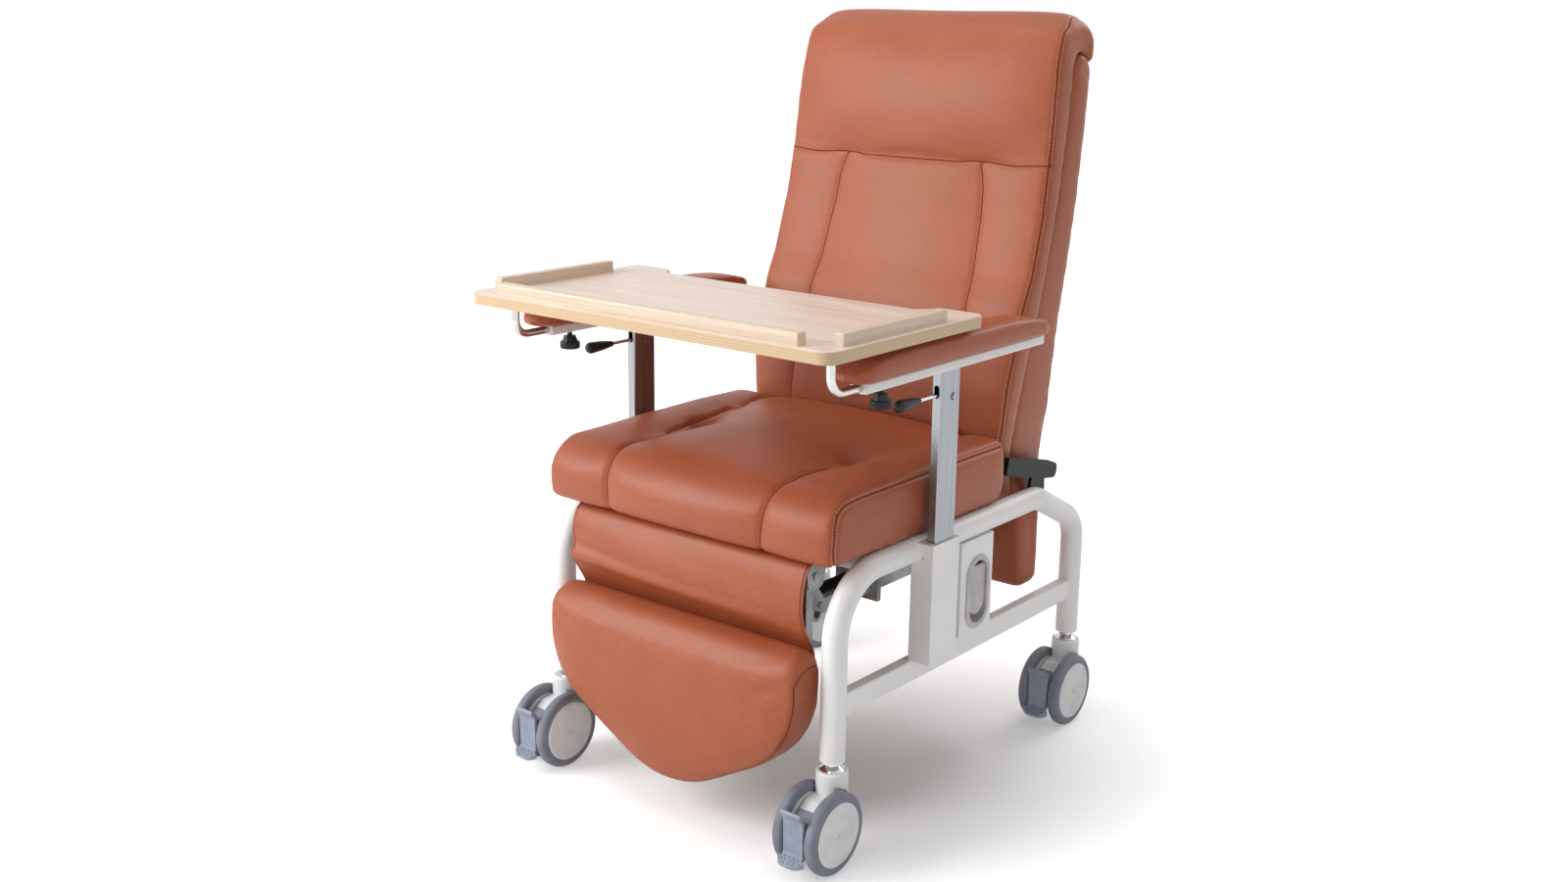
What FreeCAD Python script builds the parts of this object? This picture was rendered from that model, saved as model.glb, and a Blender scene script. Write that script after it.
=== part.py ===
import FreeCAD, Part
import math
import os

# Reclining care chair on four braked casters, with lift-off arms and a sliding meal tray.
# Millimetres, Z up, the sitter faces -Y and the sitter's left arm is on +X.
# Y is drawn from the middle of the wheelbase and moved by FRAME_MID_Y when a piece is saved.

V = FreeCAD.Vector
os.makedirs("parts", exist_ok=True)

# Fits
TURN_GAP = 0.05
SLIDE_GAP = 0.15
SIDE_GAP = 1.0
SEAT_GAP = 0.3

# Stance
FRAME_MID_Y = 45.0
WHEELBASE = 683.0
TRACK = 550.0
LEG_Y = WHEELBASE / 2
LEG_X = TRACK / 2

# Side frames: one bent tube each, from the front leg over the top rail to the rear leg
TUBE_R = 19.0
LEG_BOTTOM_Z = 158.0
LEG_BORE_R = 16.5
LEG_BORE_DEPTH = 45.0
RAIL_Z = 431.0
FRONT_BEND_R = 95.0
REAR_BEND_R = 58.0
SLOPE_START_Y = 208.0
SLOPE_END_Z = 363.0

# Lower rails
LOWER_RAIL_W = 20.0
LOWER_RAIL_TOP = 257.0
LOWER_RAIL_H = 35.0

# Cross tubes that carry the seat
CROSS_R = 14.0
CROSS_Z = 425.0
CROSS_YS = (-235.0, -100.0, 40.0)

# Arms
ARM_OUTSET = 31.0
ARM_X = LEG_X + ARM_OUTSET
POST_W = 17.0
POST_D = 50.0
POST_FRONT_Y = -149.0
POST_WALL = 2.5
POST_BOTTOM_Z = 375.0
SOCKET_W = 40.0
SOCKET_D = 72.0
SOCKET_TOP_Z = 446.0
SOCKET_WALL = 2.5
SOCKET_CAP = 6.0
ARM_RAIL_W = 30.0
ARM_RAIL_H = 16.0
ARM_RAIL_WALL = 1.4
ARM_RAIL_Z = 708.0
ARM_RAIL_FRONT_Y = -340.0
ARM_RAIL_REAR_Y = 128.0
ARM_PLUG = 12.0
ARM_PAD_W = 70.0
ARM_PAD_H = 38.0
ARM_PAD_FRONT_Y = -378.0
ARM_PAD_REAR_Y = 138.0
RIVET_Y = -115.0
RIVET_Z = ARM_RAIL_Z - 42.0
RIVET_R = 4.0
LEVER_R = 3.0
LEVER_Z = RIVET_Z + 6.0
LEVER_GRIP_Y = -194.0
LEVER_TIP_Y = -252.0
LEVER_NECK_R = 4.5
LEVER_BULB_R = 9.5
KNOB_Y = -289.0
KNOB_R = 16.0
KNOB_H = 12.0
KNOB_COLLAR_R = 11.0
KNOB_COLLAR_H = 9.0
KNOB_DROP = 8.0
KNOB_FLUTES = 24
STUD_R = 4.0

# Tray
TRAY_OVERHANG = 40.5
TRAY_W = 2 * (ARM_X + TRAY_OVERHANG)
TRAY_FRONT_Y = -462.0
TRAY_REAR_Y = -88.0
TRAY_HORN_W = 86.5
TRAY_NOTCH_W = TRAY_W - 2 * TRAY_HORN_W
TRAY_NOTCH = 34.0
TRAY_RISE = 62.0
TRAY_Z = ARM_RAIL_Z + TRAY_RISE
TRAY_T = 18.0
TRAY_CORNER_R = 22.0
STRIP = 18.0
TRAY_TUBE_R = 6.5
TRAY_TUBE_Y = -404.0
TRAY_TUBE_END_Y = -180.0
TRAY_TUBE_BEND = 24.0

# Seat
SEAT_OVERHANG = 6.0
SEAT_W = TRACK + 2 * SEAT_OVERHANG
SEAT_FRONT_Y = -366.0
SEAT_REAR_Y = 98.0
SEAT_BOTTOM_Z = 452.0
SEAT_SEAM_Z = 548.0
SEAT_PANEL_X = 160.0
SEAT_BOARD_T = 15.0
SEAT_BAR_INSET = 75.0
SEAT_BAR_X = LEG_X - SEAT_BAR_INSET
SEAT_BAR_W = 40.0

# Back: pivot, shell profile and cushion stations
BACK_PIVOT_Y = 228.0
BACK_PIVOT_Z = 470.0
BACK_PIN_R = 7.0
BACK_SIDE_GAP = 8.0
SHELL_HALF = LEG_X - TUBE_R - BACK_SIDE_GAP
SHELL_FLARE = 8.0
SHELL_FLARE_Z = 490.0
SHELL_WIDE_Z = 570.0
SHELL_CHAMFER = 6.0
BACK_BOARD_T = 9.0
BACK_BAR_T = 12.0
BACK_BAR_INSET = 48.0
BACK_BAR_X = SHELL_HALF - BACK_BAR_INSET
BACK_BAR_W = 30.0
UPRIGHT_LOW_Z = 300.0
UPRIGHT_TOP_Z = 1080.0
LOW_BAR_Z = 395.0
MIDDLE_BAR_Z = 720.0
BACK_BOARD_LOW_Z = 440.0
BACK_BOARD_TOP_Z = 1095.0
BACK_PANEL_X = 148.0
ROLL_R = 45.0
ROLL_Y = 314.0
ROLL_Z = 1159.0
HINGE_INSET = 11.0
HINGE_ARM_X = LEG_X - HINGE_INSET
HINGE_ARM_T = 8.0
HINGE_ARM_H = 31.0
HINGE_ARM_LOW = -10.5
HINGE_ARM_FRONT = 112.0
HINGE_ARM_REAR = 53.0
HINGE_ARM_NOSE = 33.0
HINGE_ARM_TILT = 13.5
# Side view of the shell (y, z), then the cushion up its front: height, front, width over the shell, crown
SHELL_FRONT = [
    (219, 257),
    (213, 400),
    (208, 490),
    (211, 570),
    (224, 650),
    (255, 800),
    (286, 974),
    (304, 1118),
]
SHELL_REAR = [(357, 1118), (332, 893), (294, 692), (278, 575), (278, 470), (286, 388), (288, 262)]
BACK_STATIONS = [
    (414, 176, -16, 7),
    (424, 142, -4, 10),
    (450, 116, 2, 12),
    (490, 109, 6, 14),
    (560, 110, 14, 14),
    (620, 112, 18, 16),
    (700, 128, 20, 17),
    (800, 158, 20, 17),
    (880, 184, 19, 16),
    (974, 221, 16, 10),
    (1060, 226, 13, 20),
    (1120, 240, 11, 18),
    (1170, 254, 8, 15),
    (1194, 272, 0, 10),
]

# Recline drive: one push bar under the sitter's left side
DRIVE_INSET = 40.0
DRIVE_X = BACK_BAR_X - DRIVE_INSET
BAR_T = 10.0
BAR_H = 24.0
BAR_Z = 335.0
PIN_R = 5.0
CRANK_T = 5.0
BACK_CRANK = 135.0
BACK_CRANK_REST = 5.0
BACK_YOKE_RISE = 32.0
BACK_YOKE_PLAY = 2.4
LEG_CRANK = 82.5
LEG_CRANK_REST = 37.5
LEG_YOKE_RISE = 17.0
LEG_YOKE_PLAY = 1.8
YOKE_WALL = 5.0
POCKET_HALF = 20.0
POCKET_REAR = 36.0
POCKET_DROP = 90.0
POCKET_RISE = 7.0
SPRING_INSET = 42.0
SPRING_X = DRIVE_X - SPRING_INSET
SPRING_R = 11.0
SPRING_FRONT_Y = -222.0
SPRING_REAR_Y = -40.0
SPRING_ROD_R = 5.0
SPRING_LUG_Y = 96.0

# Legrest
LEGREST_Y = -290.0
LEGREST_Z = 408.0
LEGREST_TUBE_R = 12.5
LEGREST_PIN_R = 6.0
LEGREST_INSET = 8.0
LEGREST_HALF = SEAT_BAR_X - LEGREST_INSET
LEGREST_ARM_W = 16.0
LEGREST_ELBOW_Z = 272.0
BRACKET_T = 6.0
FOOT_SIDE_GAP = 6.0
FOOT_W = TRACK - 2 * TUBE_R - 2 * FOOT_SIDE_GAP
FOOT_TOP_Z = 322.0
FOOT_ARM_LAP = 166.0
FOOT_SIDE_H = 147.0
FOOT_POINT_H = 139.0
FOOT_SHOULDER = 22.0
FOOT_SIDE_R = 153.0
FOOT_BOTTOM_R = 174.0
FOOT_FRONT_Y = -410.0
FOOT_BACK_Y = -337.0
FOOT_BOARD_T = 12.0
FOOT_BOARD_INSET = 18.0
FOOT_BOARD_DROP = 14.0
FLAP_INSET = 14.0
FLAP_W = FOOT_W - 2 * FLAP_INSET
FLAP_T = 3.0

# Release pull on the sitter's left side
RELEASE_FRONT_Y = -32.0
RELEASE_REAR_Y = 60.0
RELEASE_T = 26.0
RELEASE_IN_X = LEG_X - RELEASE_T / 2
RELEASE_OUT_X = LEG_X + RELEASE_T / 2
RELEASE_TOP_Z = 411.0
SHEET = 2.0
OVAL_Y = 16.0
OVAL_Z = 322.0
OVAL_W = 66.0
OVAL_H = 122.0
OVAL_LIP = 3.0
OVAL_RIM = 9.0
OVAL_DEPTH = 16.0
PADDLE_T = 4.0
FINGER_GAP = 13.0

# Casters
WHEEL_R = 62.5
TRAIL = 32.0
DISC_R = 48.5
WHEEL_IN = 19.5
WHEEL_W = 19.0
WEB = 33.0
AXLE_R = 5.0
NECK_R = 24.0
NECK_TOP_Z = 144.0
STEM_R = 8.0
PEDAL_W = 36.0
TREAD_W = 50.0
TREAD_REACH = 16.0
TREAD_GAP = 4.5
PEDAL_PIN_R = 2.0
PEDAL_PIVOT_Y = 38.0
PEDAL_PIVOT_Z = 10.0


def box(x0, x1, y0, y1, z0, z1):
    return Part.makeBox(x1 - x0, y1 - y0, z1 - z0, V(x0, y0, z0))


def rod_x(x0, x1, y, z, r):
    return Part.makeCylinder(r, x1 - x0, V(x0, y, z), V(1, 0, 0))


def rod_y(y0, y1, x, z, r):
    return Part.makeCylinder(r, y1 - y0, V(x, y0, z), V(0, 1, 0))


def rod_z(z0, z1, x, y, r):
    return Part.makeCylinder(r, z1 - z0, V(x, y, z0), V(0, 0, 1))


def path(points, radii, closed=False):
    """Wire through points, with each corner rounded by its radius."""
    count = len(points)
    enter = []
    leave = []
    middle = []
    for i, p in enumerate(points):
        at_end = not closed and i in (0, count - 1)
        if at_end or not radii[i]:
            enter.append(p)
            leave.append(p)
            middle.append(None)
            continue
        a = (points[i - 1] - p).normalize()
        b = (points[(i + 1) % count] - p).normalize()
        half = a.getAngle(b) / 2
        back_off = radii[i] / math.tan(half)
        inward = (a + b).normalize()
        enter.append(p + a * back_off)
        leave.append(p + b * back_off)
        middle.append(p + inward * (radii[i] / math.sin(half) - radii[i]))
    edges = []
    for i in range(count):
        if middle[i]:
            edges.append(Part.Arc(enter[i], middle[i], leave[i]).toShape())
        j = (i + 1) % count
        if (j or closed) and (leave[i] - enter[j]).Length > 1e-6:
            edges.append(Part.makeLine(leave[i], enter[j]))
    return Part.Wire(Part.__sortEdges__(edges))


def tube(points, radii, r):
    ring = Part.Wire(Part.makeCircle(r, points[0], points[1] - points[0]))
    return path(points, radii).makePipeShell([ring], True, False)


def plate(outline, x0, x1):
    """Plate cut in the side view (y, z, corner radius) and spread along X."""
    points = [V(x0, y, z) for y, z, r in outline]
    wire = path(points, [r for y, z, r in outline], True)
    return Part.Face(wire).extrude(V(x1 - x0, 0, 0))


def slot_plate(y, z0, z1, r, x0, x1):
    """Upright plate with two round ends."""
    ends = rod_x(x0, x1, y, z0, r).fuse(rod_x(x0, x1, y, z1, r))
    return ends.fuse(box(x0, x1, y - r, y + r, z0, z1)).removeSplitter()


def fuse(*shapes):
    whole = shapes[0].multiFuse(list(shapes[1:]))
    return whole.removeSplitter()


def mirrored(shape):
    return shape.mirror(V(0, 0, 0), V(1, 0, 0))


def both(shape):
    return [shape, mirrored(shape)]


def save(name, solids):
    """One file for each piece; alike pieces share a file as a group of solids."""
    moved = []
    for solid in solids:
        copy = solid.copy()
        copy.translate(V(0, FRAME_MID_Y, 0))
        moved.append(copy)
    shape = moved[0] if len(moved) == 1 else Part.makeCompound(moved)
    shape.exportStep("parts/" + name + ".step")


def pillow_ring(place, half, draw, low, high, crown, seam, dip):
    """Cushion section: flat underside, bulging sides and three crowned channels on top."""
    foot = half - draw
    side = (low + high) / 2
    outer = (foot + seam) / 2
    left = [place(-foot, low), place(-half, side), place(-foot, high)]
    right = [place(foot, low), place(half, side), place(foot, high)]
    edges = [
        Part.makeLine(left[0], right[0]),
        Part.Arc(*right).toShape(),
        Part.Arc(right[2], place(outer, high + crown * 0.7), place(seam, high + dip)).toShape(),
        Part.Arc(place(seam, high + dip), place(0, high + crown), place(-seam, high + dip)).toShape(),
        Part.Arc(place(-seam, high + dip), place(-outer, high + crown * 0.7), left[2]).toShape(),
        Part.Arc(left[2], left[1], left[0]).toShape(),
    ]
    return Part.Wire(edges)


# Side frames
def side_frame(x):
    points = [
        V(x, -LEG_Y, LEG_BOTTOM_Z),
        V(x, -LEG_Y, RAIL_Z),
        V(x, SLOPE_START_Y, RAIL_Z),
        V(x, LEG_Y, SLOPE_END_Z),
        V(x, LEG_Y, LEG_BOTTOM_Z),
    ]
    frame = tube(points, [0, FRONT_BEND_R, REAR_BEND_R, REAR_BEND_R, 0], TUBE_R)
    for y in (-LEG_Y, LEG_Y):
        frame = frame.cut(rod_z(LEG_BOTTOM_Z, LEG_BOTTOM_Z + LEG_BORE_DEPTH, x, y, LEG_BORE_R))
    return frame


SOCKET_IN = ARM_X - POST_W / 2 - 19.5
SOCKET_OUT = SOCKET_IN + SOCKET_W
SOCKET_FRONT = POST_FRONT_Y + POST_D / 2 - SOCKET_D / 2
SOCKET_REAR = SOCKET_FRONT + SOCKET_D
socket_space = box(SOCKET_IN, SOCKET_OUT, SOCKET_FRONT, SOCKET_REAR, LOWER_RAIL_TOP, SOCKET_TOP_Z)
whole_frame = side_frame(LEG_X)
left_frame = whole_frame.cut(socket_space)
save("left_side_frame", [left_frame])
save("right_side_frame", [mirrored(left_frame)])

# Lower rails, coped to the legs
lower = box(
    LEG_X - LOWER_RAIL_W / 2,
    LEG_X + LOWER_RAIL_W / 2,
    -LEG_Y,
    LEG_Y,
    LOWER_RAIL_TOP - LOWER_RAIL_H,
    LOWER_RAIL_TOP,
)
upright_edges = [e for e in lower.Edges if abs(e.tangentAt(e.FirstParameter).y) > 0.9]
lower = lower.makeFillet(3.0, upright_edges)
for leg in (-LEG_Y, LEG_Y):
    lower = lower.cut(rod_z(LEG_BOTTOM_Z, RAIL_Z, LEG_X, leg, TUBE_R))
save("lower_rails", both(lower))

# Cross tubes, coped to the top rails
cross_tubes = []
for y in CROSS_YS:
    cross = rod_x(-LEG_X, LEG_X, y, CROSS_Z, CROSS_R)
    for space in (whole_frame, socket_space):
        cross = cross.cut(space).cut(mirrored(space))
    cross_tubes.append(max(cross.Solids, key=lambda s: s.Volume))
save("cross_tubes", cross_tubes)

# Post sockets: box section, closed foot and a cap that guides the post
POST_IN = ARM_X - POST_W / 2
POST_OUT = ARM_X + POST_W / 2
POST_REAR_Y = POST_FRONT_Y + POST_D
socket = socket_space.makeFillet(
    2.0, [e for e in socket_space.Edges if abs(e.tangentAt(e.FirstParameter).z) > 0.9]
)
socket = socket.cut(
    box(
        SOCKET_IN + SOCKET_WALL,
        SOCKET_OUT - SOCKET_WALL,
        SOCKET_FRONT + SOCKET_WALL,
        SOCKET_REAR - SOCKET_WALL,
        LOWER_RAIL_TOP + SOCKET_WALL,
        SOCKET_TOP_Z - SOCKET_CAP,
    )
)
socket = socket.cut(
    box(
        POST_IN - SLIDE_GAP,
        POST_OUT + SLIDE_GAP,
        POST_FRONT_Y - SLIDE_GAP,
        POST_REAR_Y + SLIDE_GAP,
        SOCKET_TOP_Z - SOCKET_CAP - 1,
        SOCKET_TOP_Z + 1,
    )
)
latch_hole = rod_y(SOCKET_REAR - 10, SOCKET_REAR + 10, ARM_X - 2, OVAL_Z + 4, 4.0)
socket = socket.cut(latch_hole)
for x in (SOCKET_IN + 10, SOCKET_IN + 22):
    socket = socket.cut(rod_y(SOCKET_FRONT - 5, SOCKET_FRONT + 10, x, SOCKET_TOP_Z - 22, 1.6))
save("post_sockets", both(socket))

# Caster stems: plug in the leg, lock nut, dome washer and pin
def caster_stem(x, y):
    plug = rod_z(LEG_BOTTOM_Z, LEG_BOTTOM_Z + LEG_BORE_DEPTH, x, y, LEG_BORE_R)
    nut_ring = [V(0, 0, 0)] * 6
    for i in range(6):
        a = math.pi * i / 3
        nut_ring[i] = V(x + 13.5 * math.cos(a), y + 13.5 * math.sin(a), LEG_BOTTOM_Z - 6)
    nut = Part.Face(Part.makePolygon(nut_ring + nut_ring[:1])).extrude(V(0, 0, 6))
    pin = rod_z(NECK_TOP_Z - 40, LEG_BOTTOM_Z, x, y, STEM_R)
    dome = Part.makeCone(19.0, 11.0, 6.0, V(x, y, NECK_TOP_Z + 0.4), V(0, 0, 1))
    return fuse(plug, nut, pin, dome)


corners = {
    "front_left": (LEG_X, -LEG_Y),
    "front_right": (-LEG_X, -LEG_Y),
    "rear_left": (LEG_X, LEG_Y),
    "rear_right": (-LEG_X, LEG_Y),
}
save("caster_stems", [caster_stem(x, y) for x, y in corners.values()])

# Seat frame: two flat bars on the cross tubes, with hangers for the legrest pivot
BAR_TOP = SEAT_BOTTOM_Z - 2
seat_bars = []
for side in (-1, 1):
    x0 = side * SEAT_BAR_X - SEAT_BAR_W / 2
    bar = box(x0, x0 + SEAT_BAR_W, LEGREST_Y - 30, SEAT_REAR_Y - 20, CROSS_Z + CROSS_R, BAR_TOP)
    hang_x = LEGREST_HALF + 2 if side > 0 else -LEGREST_HALF - 2 - BRACKET_T
    hanger = plate(
        [
            (LEGREST_Y - 24, BAR_TOP - 2, 0),
            (LEGREST_Y + 30, BAR_TOP - 2, 0),
            (LEGREST_Y + 18, LEGREST_Z - 20, 14),
            (LEGREST_Y - 18, LEGREST_Z - 20, 14),
        ],
        hang_x,
        hang_x + BRACKET_T,
    )
    bar = fuse(bar, hanger)
    bar = bar.cut(rod_x(hang_x - 1, hang_x + BRACKET_T + 1, LEGREST_Y, LEGREST_Z, LEGREST_PIN_R + TURN_GAP))
    seat_bars.append(bar)
save("seat_frame", seat_bars)

# Seat board and cushion
SEAT_HALF = SEAT_W / 2
seat_board = box(
    -SEAT_HALF + 31, SEAT_HALF - 31, SEAT_FRONT_Y + 36, SEAT_REAR_Y - 16, BAR_TOP, BAR_TOP + SEAT_BOARD_T
)
board_corners = [e for e in seat_board.Edges if abs(e.tangentAt(e.FirstParameter).z) > 0.9]
seat_board = seat_board.makeFillet(25.0, board_corners)
save("seat_board", [seat_board])


def seat_ring(y, inset, lift, drop, crown, dip):
    return pillow_ring(
        lambda u, v: V(u, y, v),
        SEAT_HALF - inset,
        7.0,
        SEAT_BOTTOM_Z + lift,
        SEAT_SEAM_Z - drop,
        crown,
        SEAT_PANEL_X,
        dip,
    )


seat_cushion = Part.makeLoft(
    [
        seat_ring(SEAT_FRONT_Y, 16, 22, 30, 8, 1),
        seat_ring(SEAT_FRONT_Y + 9, 6, 8, 13, 13, 2),
        seat_ring(SEAT_FRONT_Y + 36, 1, 1, 3, 21, 3),
        seat_ring(SEAT_FRONT_Y + 120, 0, 0, 0, 27, 2),
        seat_ring(SEAT_FRONT_Y + 240, 0, 0, 0, 28, 0),
        seat_ring(SEAT_REAR_Y - 100, 0, 0, 0, 23, 3),
        seat_ring(SEAT_REAR_Y - 30, 1, 1, 2, 17, 4),
        seat_ring(SEAT_REAR_Y, 9, 9, 12, 9, 2),
    ],
    True,
    True,
)
seat_cushion = seat_cushion.cut(seat_board)
save("seat_cushion", [seat_cushion])

# Back shell: upholstered panel in the side view, with the tail below the pivot
SHELL_WIDE = SHELL_HALF + SHELL_FLARE


def shell_front(z):
    for (y0, z0), (y1, z1) in zip(SHELL_FRONT, SHELL_FRONT[1:]):
        if z <= z1:
            return y0 + (y1 - y0) * (z - z0) / (z1 - z0)
    return SHELL_FRONT[-1][0]


def back_strip(z0, z1, near, far, x0, x1):
    """Strip that follows the shell's front face, between two depths behind it."""
    heights = [z0] + [z for y, z in SHELL_FRONT if z0 < z < z1] + [z1]
    outline = [(shell_front(z) + near, z, 0) for z in heights]
    outline += [(shell_front(z) + far, z, 0) for z in reversed(heights)]
    return plate(outline, x0, x1)


front_line = Part.makePolygon([V(-SHELL_WIDE, y, z) for y, z in SHELL_FRONT])
rear_curve = Part.BSplineCurve()
rear_curve.interpolate([V(-SHELL_WIDE, y, z) for y, z in SHELL_REAR])
shell_ends = [
    Part.makeLine(V(-SHELL_WIDE, *SHELL_FRONT[-1]), rear_curve.StartPoint),
    Part.makeLine(rear_curve.EndPoint, V(-SHELL_WIDE, *SHELL_FRONT[0])),
]
shell_edges = front_line.Edges + shell_ends + [rear_curve.toShape()]
shell_body = Part.Face(Part.Wire(Part.__sortEdges__(shell_edges))).extrude(V(2 * SHELL_WIDE, 0, 0))
side_edges = []
for e in shell_body.Edges:
    if min(abs(v.X) for v in e.Vertexes) > SHELL_WIDE - 0.1 and e.Curve.TypeId == "Part::GeomBSplineCurve":
        side_edges.append(e)
shell_body = shell_body.makeChamfer(SHELL_CHAMFER, side_edges)
flare = [(SHELL_HALF, 0), (SHELL_HALF, SHELL_FLARE_Z), (SHELL_WIDE, SHELL_WIDE_Z), (SHELL_WIDE, 2 * ROLL_Z)]
flare += [(-x, z) for x, z in reversed(flare)]
flare_wire = Part.makePolygon([V(x, 0, z) for x, z in flare + flare[:1]])
shell_body = shell_body.common(Part.Face(flare_wire).extrude(V(0, 2 * ROLL_Y, 0)))
roll_space = rod_x(-SHELL_WIDE - 5, SHELL_WIDE + 5, ROLL_Y, ROLL_Z, ROLL_R + 1)
shell_body = shell_body.cut(roll_space)

# Back frame: two uprights and three cross bars, pivot bosses and the crank for the push bar
FRAME_NEAR = BACK_BOARD_T
FRAME_FAR = BACK_BOARD_T + BACK_BAR_T
BAR_IN = BACK_BAR_X - BACK_BAR_W / 2
BAR_OUT = BACK_BAR_X + BACK_BAR_W / 2
uprights = []
for side in (-1, 1):
    x0 = BAR_IN if side > 0 else -BAR_OUT
    uprights.append(back_strip(UPRIGHT_LOW_Z, UPRIGHT_TOP_Z, FRAME_NEAR, FRAME_FAR, x0, x0 + BACK_BAR_W))
bars = []
for z in (LOW_BAR_Z, MIDDLE_BAR_Z, UPRIGHT_TOP_Z - BACK_BAR_W):
    bars.append(back_strip(z, z + BACK_BAR_W, FRAME_NEAR, FRAME_FAR, -BAR_IN, BAR_IN))
BOSS_R = BACK_PIN_R + 6
bosses = []
for x0 in (BAR_IN, -SHELL_HALF):
    bosses.append(rod_x(x0, x0 + SHELL_HALF - BAR_IN, BACK_PIVOT_Y, BACK_PIVOT_Z, BOSS_R))
pin_angle = math.radians(BACK_CRANK_REST)
BACK_PIN_Y = BACK_PIVOT_Y + BACK_CRANK * math.sin(pin_angle)
BACK_PIN_Z = BACK_PIVOT_Z - BACK_CRANK * math.cos(pin_angle)
CHEEK_IN = BAR_T / 2 + SIDE_GAP
CHEEK_OUT = CHEEK_IN + CRANK_T
cheeks = []
LOW_BAR_TOP = LOW_BAR_Z + BACK_BAR_W
for x0 in (DRIVE_X - CHEEK_OUT, DRIVE_X + CHEEK_IN):
    cheeks.append(
        plate(
            [
                (shell_front(LOW_BAR_TOP) + FRAME_NEAR, LOW_BAR_TOP, 0),
                (shell_front(LOW_BAR_TOP) + FRAME_FAR, LOW_BAR_TOP, 0),
                (BACK_PIN_Y + 12, BACK_PIN_Z + 14, 20),
                (BACK_PIN_Y + 12, BACK_PIN_Z - 12, 10),
                (BACK_PIN_Y - 12, BACK_PIN_Z - 12, 10),
                (shell_front(LOW_BAR_Z) + FRAME_NEAR, LOW_BAR_Z, 20),
            ],
            x0,
            x0 + CRANK_T,
        )
    )
crank_pin = rod_x(DRIVE_X - CHEEK_OUT - 3, DRIVE_X + CHEEK_OUT + 3, BACK_PIN_Y, BACK_PIN_Z, PIN_R)
back_frame = fuse(uprights[0], uprights[1], *bars, *bosses, *cheeks, crank_pin)
back_frame = back_frame.cut(
    rod_x(-SHELL_HALF - 1, SHELL_HALF + 1, BACK_PIVOT_Y, BACK_PIVOT_Z, BACK_PIN_R + TURN_GAP)
)
save("back_frame", [back_frame])

# Back board, and the shell with its recesses and the pocket that clears the push bar
BOARD_HALF = SHELL_HALF - 16
back_board = back_strip(BACK_BOARD_LOW_Z, BACK_BOARD_TOP_Z, 0, BACK_BOARD_T, -BOARD_HALF, BOARD_HALF)
pocket = box(
    DRIVE_X - POCKET_HALF,
    DRIVE_X + POCKET_HALF,
    SHELL_FRONT[0][0] - POCKET_REAR,
    BACK_PIN_Y + POCKET_REAR,
    BACK_PIN_Z - POCKET_DROP,
    LOW_BAR_TOP + POCKET_RISE,
)
boss_space = [
    rod_x(BAR_IN, SHELL_HALF + 1, BACK_PIVOT_Y, BACK_PIVOT_Z, BOSS_R),
    rod_x(-SHELL_HALF - 1, -BAR_IN, BACK_PIVOT_Y, BACK_PIVOT_Z, BOSS_R),
]
back_shell = shell_body.cut(back_board).cut(back_frame).cut(pocket)
for space in boss_space:
    back_shell = back_shell.cut(space)
    back_board = back_board.cut(space)
save("back_board", [back_board])
back_shell = max(back_shell.Solids, key=lambda s: s.Volume)
save("back_shell", [back_shell])

# Back cushion: crowned loft up the front of the shell, with the head roll over the top

def back_ring(z, front, wider, crown):
    rear = shell_front(z)
    return pillow_ring(
        lambda u, v: V(u, rear - v, z),
        SHELL_HALF + wider,
        6.0,
        0.0,
        rear - front - crown * 0.4,
        crown,
        BACK_PANEL_X,
        3.0,
    )


back_loft = Part.makeLoft([back_ring(*station) for station in BACK_STATIONS], True, True)
roll = rod_x(-SHELL_WIDE, SHELL_WIDE, ROLL_Y, ROLL_Z, ROLL_R)
roll = roll.makeFillet(18.0, [e for e in roll.Edges if e.isClosed()])
back_cushion = fuse(back_loft.cut(shell_body).cut(back_board), roll)
back_cushion = max(back_cushion.Solids, key=lambda s: s.Volume)
save("back_cushion", [back_cushion])

# Hinge arms: flat bars beside the back that fall toward the rear, each on a foot welded to the rail,
# with the pivot pin welded in flush
def hinge_arm(bolt_end):
    x0 = HINGE_ARM_X
    x1 = HINGE_ARM_X + HINGE_ARM_T
    front = BACK_PIVOT_Y - HINGE_ARM_FRONT
    rear = BACK_PIVOT_Y + HINGE_ARM_REAR
    low = BACK_PIVOT_Z + HINGE_ARM_LOW
    high = low + HINGE_ARM_H
    bar = plate(
        [
            (front, low, 4),
            (rear - HINGE_ARM_NOSE, low, 8),
            (rear, low + 2.5, 11),
            (rear, high - 4.5, 11),
            (rear - HINGE_ARM_NOSE, high, 8),
            (front, high, 4),
        ],
        x0,
        x1,
    )
    bar.rotate(V(0, BACK_PIVOT_Y, BACK_PIVOT_Z), V(1, 0, 0), -HINGE_ARM_TILT)
    foot = plate(
        [
            (BACK_PIVOT_Y - 34, RAIL_Z + 10, 0),
            (BACK_PIVOT_Y + 16, RAIL_Z + 2, 0),
            (BACK_PIVOT_Y + 14, BACK_PIVOT_Z, 10),
            (BACK_PIVOT_Y - 26, BACK_PIVOT_Z, 10),
        ],
        x0 + 1,
        x1 - 1,
    )
    foot = foot.cut(whole_frame)
    foot = max(foot.Solids, key=lambda s: s.CenterOfMass.z)
    pin = rod_x(bolt_end, x1, BACK_PIVOT_Y, BACK_PIVOT_Z, BACK_PIN_R)
    return fuse(bar, foot, pin)


hinge = hinge_arm(BAR_IN + 4)
save("hinge_arms", both(hinge))

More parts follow.
